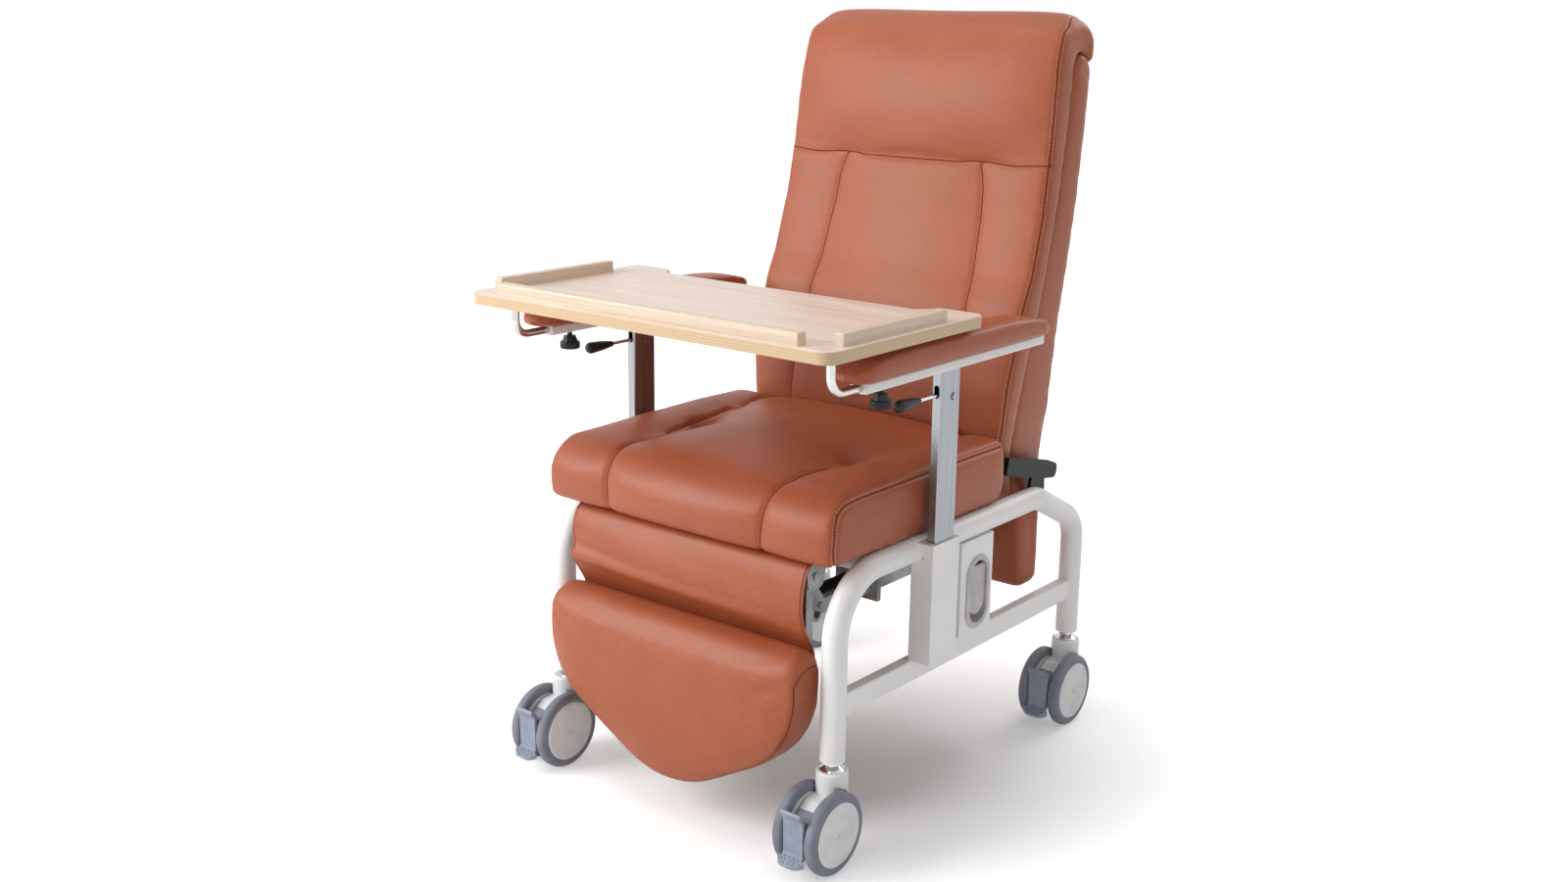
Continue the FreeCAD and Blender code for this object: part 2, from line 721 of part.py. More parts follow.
# Push bar with an upright slot at each end
leg_angle = math.radians(LEG_CRANK_REST)
LEG_PIN_Y = LEGREST_Y + LEG_CRANK * math.sin(leg_angle)
LEG_PIN_Z = LEGREST_Z - LEG_CRANK * math.cos(leg_angle)
bar_x0 = DRIVE_X - BAR_T / 2
bar_x1 = DRIVE_X + BAR_T / 2
back_slot_z = BACK_PIVOT_Z - BACK_CRANK
leg_slot_z = LEGREST_Z - LEG_CRANK
back_slot_r = PIN_R + BACK_YOKE_PLAY
leg_slot_r = PIN_R + LEG_YOKE_PLAY
push_bar = fuse(
    box(bar_x0, bar_x1, LEG_PIN_Y, BACK_PIN_Y, BAR_Z - BAR_H / 2, BAR_Z + BAR_H / 2),
    slot_plate(
        BACK_PIN_Y, back_slot_z, back_slot_z + BACK_YOKE_RISE, back_slot_r + YOKE_WALL, bar_x0, bar_x1
    ),
    slot_plate(LEG_PIN_Y, leg_slot_z, leg_slot_z + LEG_YOKE_RISE, leg_slot_r + YOKE_WALL, bar_x0, bar_x1),
    box(SPRING_X - 8, bar_x0, SPRING_LUG_Y - 6, SPRING_LUG_Y + 6, BAR_Z - 10, BAR_Z + 10),
)
push_bar = push_bar.cut(
    slot_plate(BACK_PIN_Y, back_slot_z, back_slot_z + BACK_YOKE_RISE, back_slot_r, bar_x0 - 1, bar_x1 + 1)
)
push_bar = push_bar.cut(
    slot_plate(LEG_PIN_Y, leg_slot_z, leg_slot_z + LEG_YOKE_RISE, leg_slot_r, bar_x0 - 1, bar_x1 + 1)
)
save("push_bar", [push_bar])

# Gas spring: cylinder held by the brackets, rod on the push bar's lug
cylinder = rod_y(SPRING_FRONT_Y, SPRING_REAR_Y, SPRING_X, BAR_Z, SPRING_R)
cylinder = cylinder.makeFillet(3.0, [e for e in cylinder.Edges if e.isClosed()])
cylinder = cylinder.cut(
    rod_y(SPRING_FRONT_Y + 10, SPRING_REAR_Y + 1, SPRING_X, BAR_Z, SPRING_ROD_R + TURN_GAP)
)
save("gas_spring_cylinder", [cylinder])
rod_end = SPRING_LUG_Y - 6
save("gas_spring_rod", [rod_y(SPRING_REAR_Y - 30, rod_end, SPRING_X, BAR_Z, SPRING_ROD_R)])

# Recline brackets: hangers on the cross tubes that hold the cylinder and guide the push bar
def hanger(y, x0, x1):
    low = BAR_Z - 24
    body = plate([(y - 5, low, 2), (y + 5, low, 2), (y + 5, CROSS_Z, 0), (y - 5, CROSS_Z, 0)], x0, x1)
    body = body.cut(rod_x(x0 - 1, x1 + 1, y, CROSS_Z, CROSS_R))
    body = max(body.Solids, key=lambda s: s.Volume)
    groove = box(
        bar_x0 - SLIDE_GAP,
        bar_x1 + SLIDE_GAP,
        y - 9,
        y + 9,
        BAR_Z - BAR_H / 2 - SLIDE_GAP,
        BAR_Z + BAR_H / 2 + SLIDE_GAP,
    )
    return body.cut(groove).cut(rod_y(y - 9, y + 9, SPRING_X, BAR_Z, SPRING_R))


brackets = [
    hanger(CROSS_YS[0], SPRING_X - 20, SPRING_X + 16),
    hanger(CROSS_YS[1], SPRING_X - 20, DRIVE_X + 20),
    hanger(CROSS_YS[2], bar_x0 + 2, DRIVE_X + 20),
]
save("recline_brackets", brackets)

# Legrest frame: torque tube, end pins, crank for the push bar and two arms
torque = rod_x(-LEGREST_HALF, LEGREST_HALF, LEGREST_Y, LEGREST_Z, LEGREST_TUBE_R)
end_pin = rod_x(
    -LEGREST_HALF - 4 - BRACKET_T, LEGREST_HALF + 4 + BRACKET_T, LEGREST_Y, LEGREST_Z, LEGREST_PIN_R
)
board_back = FOOT_BACK_Y + FOOT_BOARD_T
legrest_parts = [torque, end_pin]
for x0 in (-LEGREST_HALF, LEGREST_HALF - LEGREST_ARM_W):
    legrest_parts.append(
        plate(
            [
                (LEGREST_Y - 12, LEGREST_Z, 0),
                (LEGREST_Y + 4, LEGREST_Z, 0),
                (LEGREST_Y + 4, LEGREST_ELBOW_Z, 14),
                (board_back + 12, LEGREST_ELBOW_Z - 12, 6),
                (board_back + 12, FOOT_TOP_Z - FOOT_ARM_LAP, 4),
                (board_back, FOOT_TOP_Z - FOOT_ARM_LAP, 0),
                (board_back, LEGREST_ELBOW_Z + 10, 2),
                (LEGREST_Y - 12, LEGREST_ELBOW_Z + 18, 8),
            ],
            x0,
            x0 + LEGREST_ARM_W,
        )
    )
for x0 in (DRIVE_X - CHEEK_OUT, DRIVE_X + CHEEK_IN):
    legrest_parts.append(
        plate(
            [
                (LEGREST_Y - 14, LEGREST_Z + 4, 8),
                (LEGREST_Y + 10, LEGREST_Z + 12, 8),
                (LEG_PIN_Y + 12, LEG_PIN_Z + 4, 9),
                (LEG_PIN_Y + 2, LEG_PIN_Z - 12, 8),
                (LEG_PIN_Y - 12, LEG_PIN_Z - 6, 8),
            ],
            x0,
            x0 + CRANK_T,
        )
    )
legrest_parts.append(rod_x(DRIVE_X - CHEEK_OUT - 3, DRIVE_X + CHEEK_OUT + 3, LEG_PIN_Y, LEG_PIN_Z, PIN_R))
save("legrest_frame", [fuse(*legrest_parts)])

# Footrest board and pad: straight top, round shoulders, and sides that slope in to a round point
FOOT_KNEE_Z = FOOT_TOP_Z - FOOT_SIDE_H
FOOT_POINT_Z = FOOT_KNEE_Z - FOOT_POINT_H
FOOT_SLOPE = math.atan2(FOOT_POINT_H, FOOT_W / 2)


def foot_ring(y, inset, lift=0.0):
    half = FOOT_W / 2 - inset
    top = FOOT_TOP_Z - inset - lift
    point = FOOT_POINT_Z + inset / math.cos(FOOT_SLOPE)
    knee = point + half * math.tan(FOOT_SLOPE)
    shrink = (top - knee) / FOOT_SIDE_H
    outline = [
        (-half, top, FOOT_SHOULDER * shrink),
        (half, top, FOOT_SHOULDER * shrink),
        (half, knee, FOOT_SIDE_R * shrink),
        (0, point, FOOT_BOTTOM_R - inset),
        (-half, knee, FOOT_SIDE_R * shrink),
    ]
    return path([V(x, y, z) for x, z, r in outline], [r for x, z, r in outline], True)


foot_board_face = Part.Face(foot_ring(FOOT_BACK_Y, FOOT_BOARD_INSET, FOOT_BOARD_DROP))
foot_board = foot_board_face.extrude(V(0, FOOT_BOARD_T, 0))
save("footrest_board", [foot_board])
foot_pad = Part.makeLoft(
    [
        foot_ring(FOOT_BACK_Y, 7, 9),
        foot_ring(FOOT_BACK_Y - 10, 2, 2),
        foot_ring(FOOT_BACK_Y - 31, 0),
        foot_ring(FOOT_FRONT_Y + 22, 1, 5),
        foot_ring(FOOT_FRONT_Y + 10, 5, 12),
        foot_ring(FOOT_FRONT_Y + 3, 13, 18),
        foot_ring(FOOT_FRONT_Y, 30, 24),
    ],
    True,
    True,
)
save("footrest_pad", [foot_pad])

# Calf flap: leather sheet from under the seat's front edge to the footrest
flap_x = -FLAP_W / 2
flap_foot = FOOT_BACK_Y + 3.5
flap_end_z = FOOT_TOP_Z - FOOT_BOARD_INSET - FOOT_BOARD_DROP + SEAT_GAP


def flap_face(shift):
    """Bulging run below the seat, then the hem behind the pad."""
    top = V(flap_x, SEAT_FRONT_Y + 14 + shift, SEAT_BOTTOM_Z - 6)
    belly = V(flap_x, SEAT_FRONT_Y + shift, SEAT_BOTTOM_Z - 62)
    hem = V(flap_x, flap_foot + shift, FOOT_TOP_Z - 10)
    end = V(flap_x, flap_foot + shift, flap_end_z)
    return [Part.Arc(top, belly, hem).toShape(), Part.makeLine(hem, end)], top, end


flap_out, out_top, out_end = flap_face(0.0)
flap_in, in_top, in_end = flap_face(FLAP_T)
flap_ends = [Part.makeLine(out_end, in_end), Part.makeLine(in_top, out_top)]
flap_wire = Part.Wire(Part.__sortEdges__(flap_out + flap_in + flap_ends))
calf_flap = Part.Face(flap_wire).extrude(V(FLAP_W, 0, 0))
save("calf_flap", [calf_flap])

# Release box between the rails, with an oval opening
release_space = box(
    RELEASE_IN_X, RELEASE_OUT_X, RELEASE_FRONT_Y, RELEASE_REAR_Y, LOWER_RAIL_TOP, RELEASE_TOP_Z
)
release_edges = [e for e in release_space.Edges if e.CenterOfMass.x > RELEASE_OUT_X - 0.1]
release_edges = [e for e in release_edges if abs(e.tangentAt(e.FirstParameter).z) > 0.9]
release_box = release_space.makeFillet(2.0, release_edges)
release_box = release_box.cut(
    box(
        RELEASE_IN_X - 1,
        RELEASE_OUT_X - SHEET,
        RELEASE_FRONT_Y + SHEET,
        RELEASE_REAR_Y - SHEET,
        LOWER_RAIL_TOP + SHEET,
        RELEASE_TOP_Z - SHEET,
    )
)
release_box = release_box.cut(rod_y(RELEASE_FRONT_Y - 60, RELEASE_REAR_Y + 60, LEG_X, RAIL_Z, TUBE_R))


def oval(margin, x0, x1):
    half = OVAL_W / 2 - margin
    reach = OVAL_H / 2 - OVAL_W / 2
    return slot_plate(OVAL_Y, OVAL_Z - reach, OVAL_Z + reach, half, x0, x1)


release_box = release_box.cut(oval(4, RELEASE_OUT_X - 5, RELEASE_OUT_X + 5))
save("release_box", [release_box])

# Release bezel: raised oval lip and a dished tub behind it
PADDLE_PIN_Z = OVAL_Z + 38
PADDLE_PIN_X = RELEASE_OUT_X - 2.5
tub_x = RELEASE_OUT_X - OVAL_DEPTH
bezel = fuse(oval(0, RELEASE_OUT_X, RELEASE_OUT_X + OVAL_LIP), oval(4, tub_x, RELEASE_OUT_X))
lip_edges = [e for e in bezel.Edges if e.CenterOfMass.x > RELEASE_OUT_X + OVAL_LIP - 0.01]
bezel = bezel.makeFillet(1.6, lip_edges)
bezel = bezel.cut(oval(OVAL_RIM, tub_x + 2, RELEASE_OUT_X + OVAL_LIP + 1))
pin_half = OVAL_W / 2 - OVAL_RIM + 3
bezel = bezel.cut(rod_y(OVAL_Y - pin_half, OVAL_Y + pin_half, PADDLE_PIN_X, PADDLE_PIN_Z, 2 + TURN_GAP))
save("release_bezel", [bezel])

# Release paddle: hinged at the top of the oval, pulled out by its lower end
paddle_r = OVAL_W / 2 - OVAL_RIM - SIDE_GAP
paddle_rise = OVAL_H / 2 - OVAL_W / 2
paddle_low = OVAL_Z - paddle_rise + FINGER_GAP
paddle_x0 = PADDLE_PIN_X - PADDLE_T / 2
paddle = slot_plate(OVAL_Y, paddle_low, OVAL_Z + paddle_rise, paddle_r, paddle_x0, paddle_x0 + PADDLE_T)
paddle = paddle.cut(box(0, 400, -100, 100, PADDLE_PIN_Z + 5, 500))
paddle = fuse(
    paddle, rod_y(OVAL_Y - pin_half + 0.5, OVAL_Y + pin_half - 0.5, PADDLE_PIN_X, PADDLE_PIN_Z, 2)
)
save("release_paddle", [paddle])

# Arm posts: polished box section with the lever's slot and rivet
post = box(POST_IN, POST_OUT, POST_FRONT_Y, POST_REAR_Y, POST_BOTTOM_Z, ARM_RAIL_Z)
post = post.makeFillet(3.0, [e for e in post.Edges if abs(e.tangentAt(e.FirstParameter).z) > 0.9])
post = post.cut(
    box(
        POST_IN + POST_WALL,
        POST_OUT - POST_WALL,
        POST_FRONT_Y + POST_WALL,
        POST_REAR_Y - POST_WALL,
        POST_BOTTOM_Z - 1,
        ARM_RAIL_Z - POST_WALL,
    )
)
slot = slot_plate(ARM_X, LEVER_Z - 0.5, LEVER_Z + 10, LEVER_R + 1.5, 0, 20)
slot.rotate(V(0, 0, 0), V(0, 0, 1), 90)
slot.translate(V(2 * ARM_X, POST_FRONT_Y - 10 , 0))
post = post.cut(slot)
rivet = fuse(
    rod_x(POST_IN, POST_OUT, RIVET_Y, RIVET_Z, RIVET_R),
    rod_x(POST_OUT, POST_OUT + 2, RIVET_Y, RIVET_Z, RIVET_R + 2),
    rod_x(POST_IN - 2, POST_IN, RIVET_Y, RIVET_Z, RIVET_R + 2),
)
post = fuse(post, rivet)
save("left_arm_post", [post])
save("right_arm_post", [mirrored(post)])

# Lever: round rod on the rivet, with a moulded grip
boss = rod_x(ARM_X - 5, ARM_X + 5, RIVET_Y, RIVET_Z, RIVET_R + 3.5)
lever = fuse(boss, rod_y(LEVER_TIP_Y + 12, RIVET_Y, ARM_X, LEVER_Z, LEVER_R))
lever = lever.cut(rod_x(ARM_X - 6, ARM_X + 6, RIVET_Y, RIVET_Z, RIVET_R + TURN_GAP))
save("left_lever_rod", [lever])
save("right_lever_rod", [mirrored(lever)])
bulb_y = LEVER_TIP_Y + LEVER_BULB_R
waist_r = (LEVER_NECK_R + LEVER_BULB_R) / 2 + 1
waist_y = (LEVER_GRIP_Y + bulb_y) / 2
tip_out = LEVER_BULB_R * math.sqrt(0.5)
grip_edges = [
    Part.makeLine(V(0, LEVER_GRIP_Y, 0), V(LEVER_NECK_R, LEVER_GRIP_Y, 0)),
    Part.Arc(V(LEVER_NECK_R, LEVER_GRIP_Y, 0), V(waist_r, waist_y, 0), V(LEVER_BULB_R, bulb_y, 0)).toShape(),
    Part.Arc(V(LEVER_BULB_R, bulb_y, 0), V(tip_out, bulb_y - tip_out, 0), V(0, LEVER_TIP_Y, 0)).toShape(),
    Part.makeLine(V(0, LEVER_TIP_Y, 0), V(0, LEVER_GRIP_Y, 0)),
]
grip = Part.Face(Part.Wire(grip_edges)).revolve(V(0, 0, 0), V(0, 1, 0), 360)
grip.translate(V(ARM_X, 0, LEVER_Z))
grip = grip.cut(rod_y(LEVER_TIP_Y + 12, LEVER_GRIP_Y + 1, ARM_X, LEVER_Z, LEVER_R))
save("left_lever_grip", [grip])
save("right_lever_grip", [mirrored(grip)])

# Arm rails: flat box section with end plugs; the front plug guides the tray tube
RAIL_IN = ARM_X - ARM_RAIL_W / 2
RAIL_OUT = ARM_X + ARM_RAIL_W / 2
TRAY_TUBE_Z = ARM_RAIL_Z + ARM_RAIL_H / 2
arm_rail = box(RAIL_IN, RAIL_OUT, ARM_RAIL_FRONT_Y, ARM_RAIL_REAR_Y, ARM_RAIL_Z, ARM_RAIL_Z + ARM_RAIL_H)
arm_rail = arm_rail.makeFillet(4.0, [e for e in arm_rail.Edges if abs(e.tangentAt(e.FirstParameter).y) > 0.9])
arm_rail = arm_rail.cut(
    box(
        RAIL_IN + ARM_RAIL_WALL,
        RAIL_OUT - ARM_RAIL_WALL,
        ARM_RAIL_FRONT_Y + ARM_PLUG,
        ARM_RAIL_REAR_Y - ARM_PLUG,
        ARM_RAIL_Z + ARM_RAIL_WALL,
        ARM_RAIL_Z + ARM_RAIL_H - ARM_RAIL_WALL,
    )
)
arm_rail = arm_rail.cut(
    rod_y(ARM_RAIL_FRONT_Y - 1, ARM_RAIL_FRONT_Y + ARM_PLUG + 1, ARM_X, TRAY_TUBE_Z, TRAY_TUBE_R + TURN_GAP)
)
arm_rail = arm_rail.cut(rod_z(ARM_RAIL_Z - 1, ARM_RAIL_Z + 5, ARM_X, KNOB_Y, STUD_R + TURN_GAP))
save("left_arm_rail", [arm_rail])
save("right_arm_rail", [mirrored(arm_rail)])

# Arm pads
PAD_Z = ARM_RAIL_Z + ARM_RAIL_H
PAD_HALF = ARM_PAD_W / 2


def pad_ring(y, inset, lift, drop):
    half = PAD_HALF - inset
    low = PAD_Z + lift
    high = PAD_Z + ARM_PAD_H - drop
    shoulder = (high - low) * 0.45
    edges = [
        Part.makeLine(V(ARM_X - half + 6, y, low), V(ARM_X + half - 6, y, low)),
        Part.Arc(
            V(ARM_X + half - 6, y, low),
            V(ARM_X + half - 1, y, low + shoulder * 0.45),
            V(ARM_X + half - 1, y, low + shoulder),
        ).toShape(),
        Part.Arc(
            V(ARM_X + half - 1, y, low + shoulder),
            V(ARM_X + half - 5, y, high - 7),
            V(ARM_X + half - 14, y, high - 3),
        ).toShape(),
        Part.Arc(
            V(ARM_X + half - 14, y, high - 3),
            V(ARM_X, y, high),
            V(ARM_X - half + 14, y, high - 3),
        ).toShape(),
        Part.Arc(
            V(ARM_X - half + 14, y, high - 3),
            V(ARM_X - half + 5, y, high - 7),
            V(ARM_X - half + 1, y, low + shoulder),
        ).toShape(),
        Part.Arc(
            V(ARM_X - half + 1, y, low + shoulder),
            V(ARM_X - half + 1, y, low + shoulder * 0.45),
            V(ARM_X - half + 6, y, low),
        ).toShape(),
    ]
    return Part.Wire(edges)


arm_pad = Part.makeLoft(
    [
        pad_ring(ARM_PAD_FRONT_Y, 13, 9, 19),
        pad_ring(ARM_PAD_FRONT_Y + 6, 7, 3, 10),
        pad_ring(ARM_PAD_FRONT_Y + 20, 2, 0.6, 4),
        pad_ring(ARM_PAD_FRONT_Y + 52, 0, 0.3, 0),
        pad_ring(ARM_PAD_REAR_Y - 52, 0, 0.3, 0),
        pad_ring(ARM_PAD_REAR_Y - 20, 2, 0.6, 4),
        pad_ring(ARM_PAD_REAR_Y - 6, 7, 3, 10),
        pad_ring(ARM_PAD_REAR_Y, 13, 9, 19),
    ],
    True,
    True,
)
save("left_arm_pad", [arm_pad])
save("right_arm_pad", [mirrored(arm_pad)])

# Tray clamp knobs: knurled disc, tapered collar and stud
knob_top = ARM_RAIL_Z - KNOB_DROP
disc_top = knob_top - KNOB_COLLAR_H
knob = rod_z(disc_top - KNOB_H, disc_top, ARM_X, KNOB_Y, KNOB_R)
knob = knob.makeFillet(2.5, [e for e in knob.Edges if e.isClosed()])
for i in range(KNOB_FLUTES):
    a = 2 * math.pi * i / KNOB_FLUTES
    groove = rod_z(disc_top - KNOB_H - 1, disc_top - 3, ARM_X, KNOB_Y + KNOB_R + 0.6, 1.4)
    groove.rotate(V(ARM_X, KNOB_Y, 0), V(0, 0, 1), math.degrees(a))
    knob = knob.cut(groove)
collar_foot = V(ARM_X, KNOB_Y, disc_top)
collar = Part.makeCone(KNOB_COLLAR_R + 1.5, KNOB_COLLAR_R - 1.5, KNOB_COLLAR_H, collar_foot, V(0, 0, 1))
stud = rod_z(disc_top - 2, TRAY_TUBE_Z - TRAY_TUBE_R - 0.3, ARM_X, KNOB_Y, STUD_R)
knob = fuse(knob, collar, stud)
save("left_tray_knob", [knob])
save("right_tray_knob", [mirrored(knob)])

# Tray board: rounded corners and a shallow hollow toward the sitter
TRAY_HALF = TRAY_W / 2
NOTCH_HALF = TRAY_NOTCH_W / 2
tray_points = [
    (-TRAY_HALF, TRAY_FRONT_Y, TRAY_CORNER_R),
    (TRAY_HALF, TRAY_FRONT_Y, TRAY_CORNER_R),
    (TRAY_HALF, TRAY_REAR_Y, 18),
    (NOTCH_HALF + 12, TRAY_REAR_Y, 16),
    (NOTCH_HALF - 12, TRAY_REAR_Y - TRAY_NOTCH, 16),
    (-NOTCH_HALF + 12, TRAY_REAR_Y - TRAY_NOTCH, 16),
    (-NOTCH_HALF - 12, TRAY_REAR_Y, 16),
    (-TRAY_HALF, TRAY_REAR_Y, 18),
]
tray_wire = path([V(x, y, TRAY_Z) for x, y, r in tray_points], [r for x, y, r in tray_points], True)
tray_board = Part.Face(tray_wire).extrude(V(0, 0, TRAY_T))
rim = [e for e in tray_board.Edges if abs(e.CenterOfMass.z - TRAY_Z - TRAY_T) < 0.01]
tray_board = tray_board.makeFillet(2.0, rim)
save("tray_board", [tray_board])

# Tray strips along the front and both sides
STRIP_Z = TRAY_Z + TRAY_T


def strip(x0, x1, y0, y1):
    bar = box(x0, x1, y0, y1, STRIP_Z, STRIP_Z + STRIP)
    return bar.makeFillet(2.5, [e for e in bar.Edges if e.CenterOfMass.z > STRIP_Z + 1])


side_strip = strip(TRAY_HALF - 10 - STRIP, TRAY_HALF - 10, TRAY_FRONT_Y + 44, TRAY_REAR_Y - 86)
front_strip = strip(-TRAY_HALF + 58, TRAY_HALF - 58, TRAY_FRONT_Y + 8, TRAY_FRONT_Y + 8 + STRIP)
save("tray_strips", both(side_strip) + [front_strip])

# Tray tubes: flange under the board, bend and the part that slides in the arm rail
tray_tube = tube(
    [
        V(ARM_X, TRAY_TUBE_Y, TRAY_Z),
        V(ARM_X, TRAY_TUBE_Y, TRAY_TUBE_Z),
        V(ARM_X, TRAY_TUBE_END_Y, TRAY_TUBE_Z),
    ],
    [0, TRAY_TUBE_BEND, 0],
    TRAY_TUBE_R,
)
flange = rod_z(TRAY_Z - 3, TRAY_Z, ARM_X, TRAY_TUBE_Y, 20)
save("tray_tubes", both(fuse(tray_tube, flange)))


# Casters
def revolve_x(outline, x, y, z):
    """Turn an (axial, radius, corner radius) outline about the wheel axle."""
    points = [V(a, r, 0) for a, r, c in outline]
    wire = path(points, [c for a, r, c in outline], True)
    shape = Part.Face(wire).revolve(V(0, 0, 0), V(1, 0, 0), 360)
    shape.translate(V(x, y, z))
    return shape


def caster(x, y):
    ay = y - TRAIL
    az = WHEEL_R
    half_web = WEB / 2
    tyres = []
    hubs = []
    for side in (-1, 1):
        inner = side * WHEEL_IN
        outer = side * (WHEEL_IN + WHEEL_W)
        tyres.append(
            revolve_x(
                [
                    (inner, DISC_R, 0),
                    (inner, WHEEL_R, 8),
                    (outer, WHEEL_R, 8),
                    (outer, DISC_R, 0),
                ],
                x,
                ay,
                az,
            )
        )
        face = outer + side * 1.5
        hub = revolve_x(
            [
                (inner, AXLE_R, 0),
                (inner, DISC_R, 0),
                (outer, DISC_R, 0),
                (face, DISC_R - 3, 2),
                (face - side * 2, 12, 0),
                (face - side * 2, AXLE_R, 0),
            ],
            x,
            ay,
            az,
        )
        hubs.append(hub)
    axle_half = WHEEL_IN + WHEEL_W - 2
    hubs = [fuse(hubs[0], hubs[1], rod_x(x - axle_half, x + axle_half, ay, az, AXLE_R))]

    neck = rod_z(az + 24, NECK_TOP_Z, x, y, NECK_R)
    neck = neck.makeFillet(4.0, [e for e in neck.Edges if e.isClosed() and e.CenterOfMass.z > NECK_TOP_Z - 1])
    clear = rod_x(x - 60, x + 60, ay, az, WHEEL_R + 1.5)
    clear = clear.cut(box(x - half_web, x + half_web, ay - 200, ay + 200, 0, 200))
    neck = neck.cut(clear)
    web = plate(
        [
            (ay - 20, az - 22, 18),
            (ay + 22, az - 22, 18),
            (y + 20, az + 20, 14),
            (y + 22, az + 46, 6),
            (y - 22, az + 46, 8),
            (ay - 8, az + 44, 10),
            (ay - 36, az + 24, 10),
        ],
        x - half_web,
        x + half_web,
    )
    fork = fuse(neck, web)
    fork = fork.cut(rod_x(x - 60, x + 60, ay, az, AXLE_R + TURN_GAP))
    fork = fork.cut(rod_z(NECK_TOP_Z - 41, NECK_TOP_Z + 1, x, y, STEM_R + TURN_GAP))

    hood = plate(
        [
            (ay - 8, az + 44.5, 3),
            (ay - 38, az + 25, 4),
            (ay - 44, az + 6, 10),
            (ay - 40, az - 18, 10),
            (ay - 21, az - 24, 3),
            (ay - 21, az - 15, 3),
            (ay - 30, az + 18, 3),
        ],
        x - half_web,
        x + half_web,
    )
    hood = hood.cut(fork)
    hood = max(hood.Solids, key=lambda s: s.Volume)
    pin_y = ay - PEDAL_PIVOT_Y
    pin_z = az + PEDAL_PIVOT_Z
    boss_r = PEDAL_PIN_R + 3
    boss_half = 8.5
    room = fuse(
        rod_x(x - boss_half - SIDE_GAP, x + boss_half + SIDE_GAP, pin_y, pin_z, boss_r + SIDE_GAP),
        box(x - boss_half - SIDE_GAP, x + boss_half + SIDE_GAP, ay - 60, pin_y, pin_z - 8, pin_z + 8),
    )
    hood = hood.cut(room)
    hood = fuse(hood, rod_x(x - half_web, x + half_web, pin_y, pin_z, PEDAL_PIN_R))
    half_pedal = PEDAL_W / 2
    face_y = ay - WHEEL_R + 4.5
    pedal = plate(
        [
            (face_y + 5, az + 40, 3),
            (face_y - 6, az + 50, 2.5),
            (face_y - 9, az + 45, 2.5),
            (face_y - 1, az + 33, 6),
            (face_y, az - 18, 8),
            (face_y - 3, az - 25, 2),
            (face_y + 4, az - 30, 4),
            (face_y + 6, az - 16, 8),
            (face_y + 5, az + 30, 5),
        ],
        x - half_pedal,
        x + half_pedal,
    )
    lip_edges = [e for e in pedal.Edges if e.CenterOfMass.z > az + 41]
    lip_edges = [e for e in lip_edges if abs(e.tangentAt(e.FirstParameter).x) < 0.1]
    pedal = pedal.makeFillet(1.0, lip_edges)
    tread = plate(
        [
            (face_y + 1, az - 20.5, 0),
            (face_y - TREAD_REACH, az - 31, 2),
            (face_y - TREAD_REACH, az - 36, 2),
            (face_y + 1, az - 29.5, 0),
        ],
        x - TREAD_W / 2,
        x + TREAD_W / 2,
    )
    toe = Part.Ellipse(V(x, face_y, az - 60), TREAD_W / 2, TREAD_REACH).toShape()
    toe = Part.Face(Part.Wire([toe])).extrude(V(0, 0, 60))
    toe = toe.cut(box(x - TREAD_W, x + TREAD_W, face_y - 0.5, face_y + TREAD_W, 0, az))
    for side in (-1, 1):
        beside = sorted((x + side * half_pedal, x + side * TREAD_W))
        toe = toe.cut(box(*beside, face_y - TREAD_GAP, face_y, 0, az))
    tread = tread.common(toe)
    bumps = []
    for along, across in ((0.30, (-12, -4, 4, 12)), (0.55, (-16, -8, 0, 8, 16)), (0.80, (-8, 0, 8))):
        bump_y = face_y + 1 - along * (TREAD_REACH + 1)
        bump_z = az - 20.5 - along * 10.5
        bumps += [Part.makeSphere(1.7, V(x + step, bump_y, bump_z)) for step in across]
    pedal = fuse(pedal, tread, *bumps)
    boss = rod_x(x - boss_half, x + boss_half, pin_y, pin_z, boss_r)
    neck_link = box(x - boss_half, x + boss_half, face_y + 3, pin_y, pin_z - 4, pin_z + 4)
    pedal = fuse(pedal, boss, neck_link)
    pedal = pedal.cut(rod_x(x - half_web, x + half_web, pin_y, pin_z, PEDAL_PIN_R + TURN_GAP))
    pedal = max(pedal.Solids, key=lambda s: s.Volume)
    return {"tyres": tyres, "hubs": hubs, "fork": [fork], "hood": [hood], "pedal": [pedal]}


for corner, (x, y) in corners.items():
    for piece, solids in caster(x, y).items():
        save(corner + "_caster_" + piece, solids)
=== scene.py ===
import bpy
import math
import numpy as np
from mathutils import Matrix, Vector
from mathutils.kdtree import KDTree


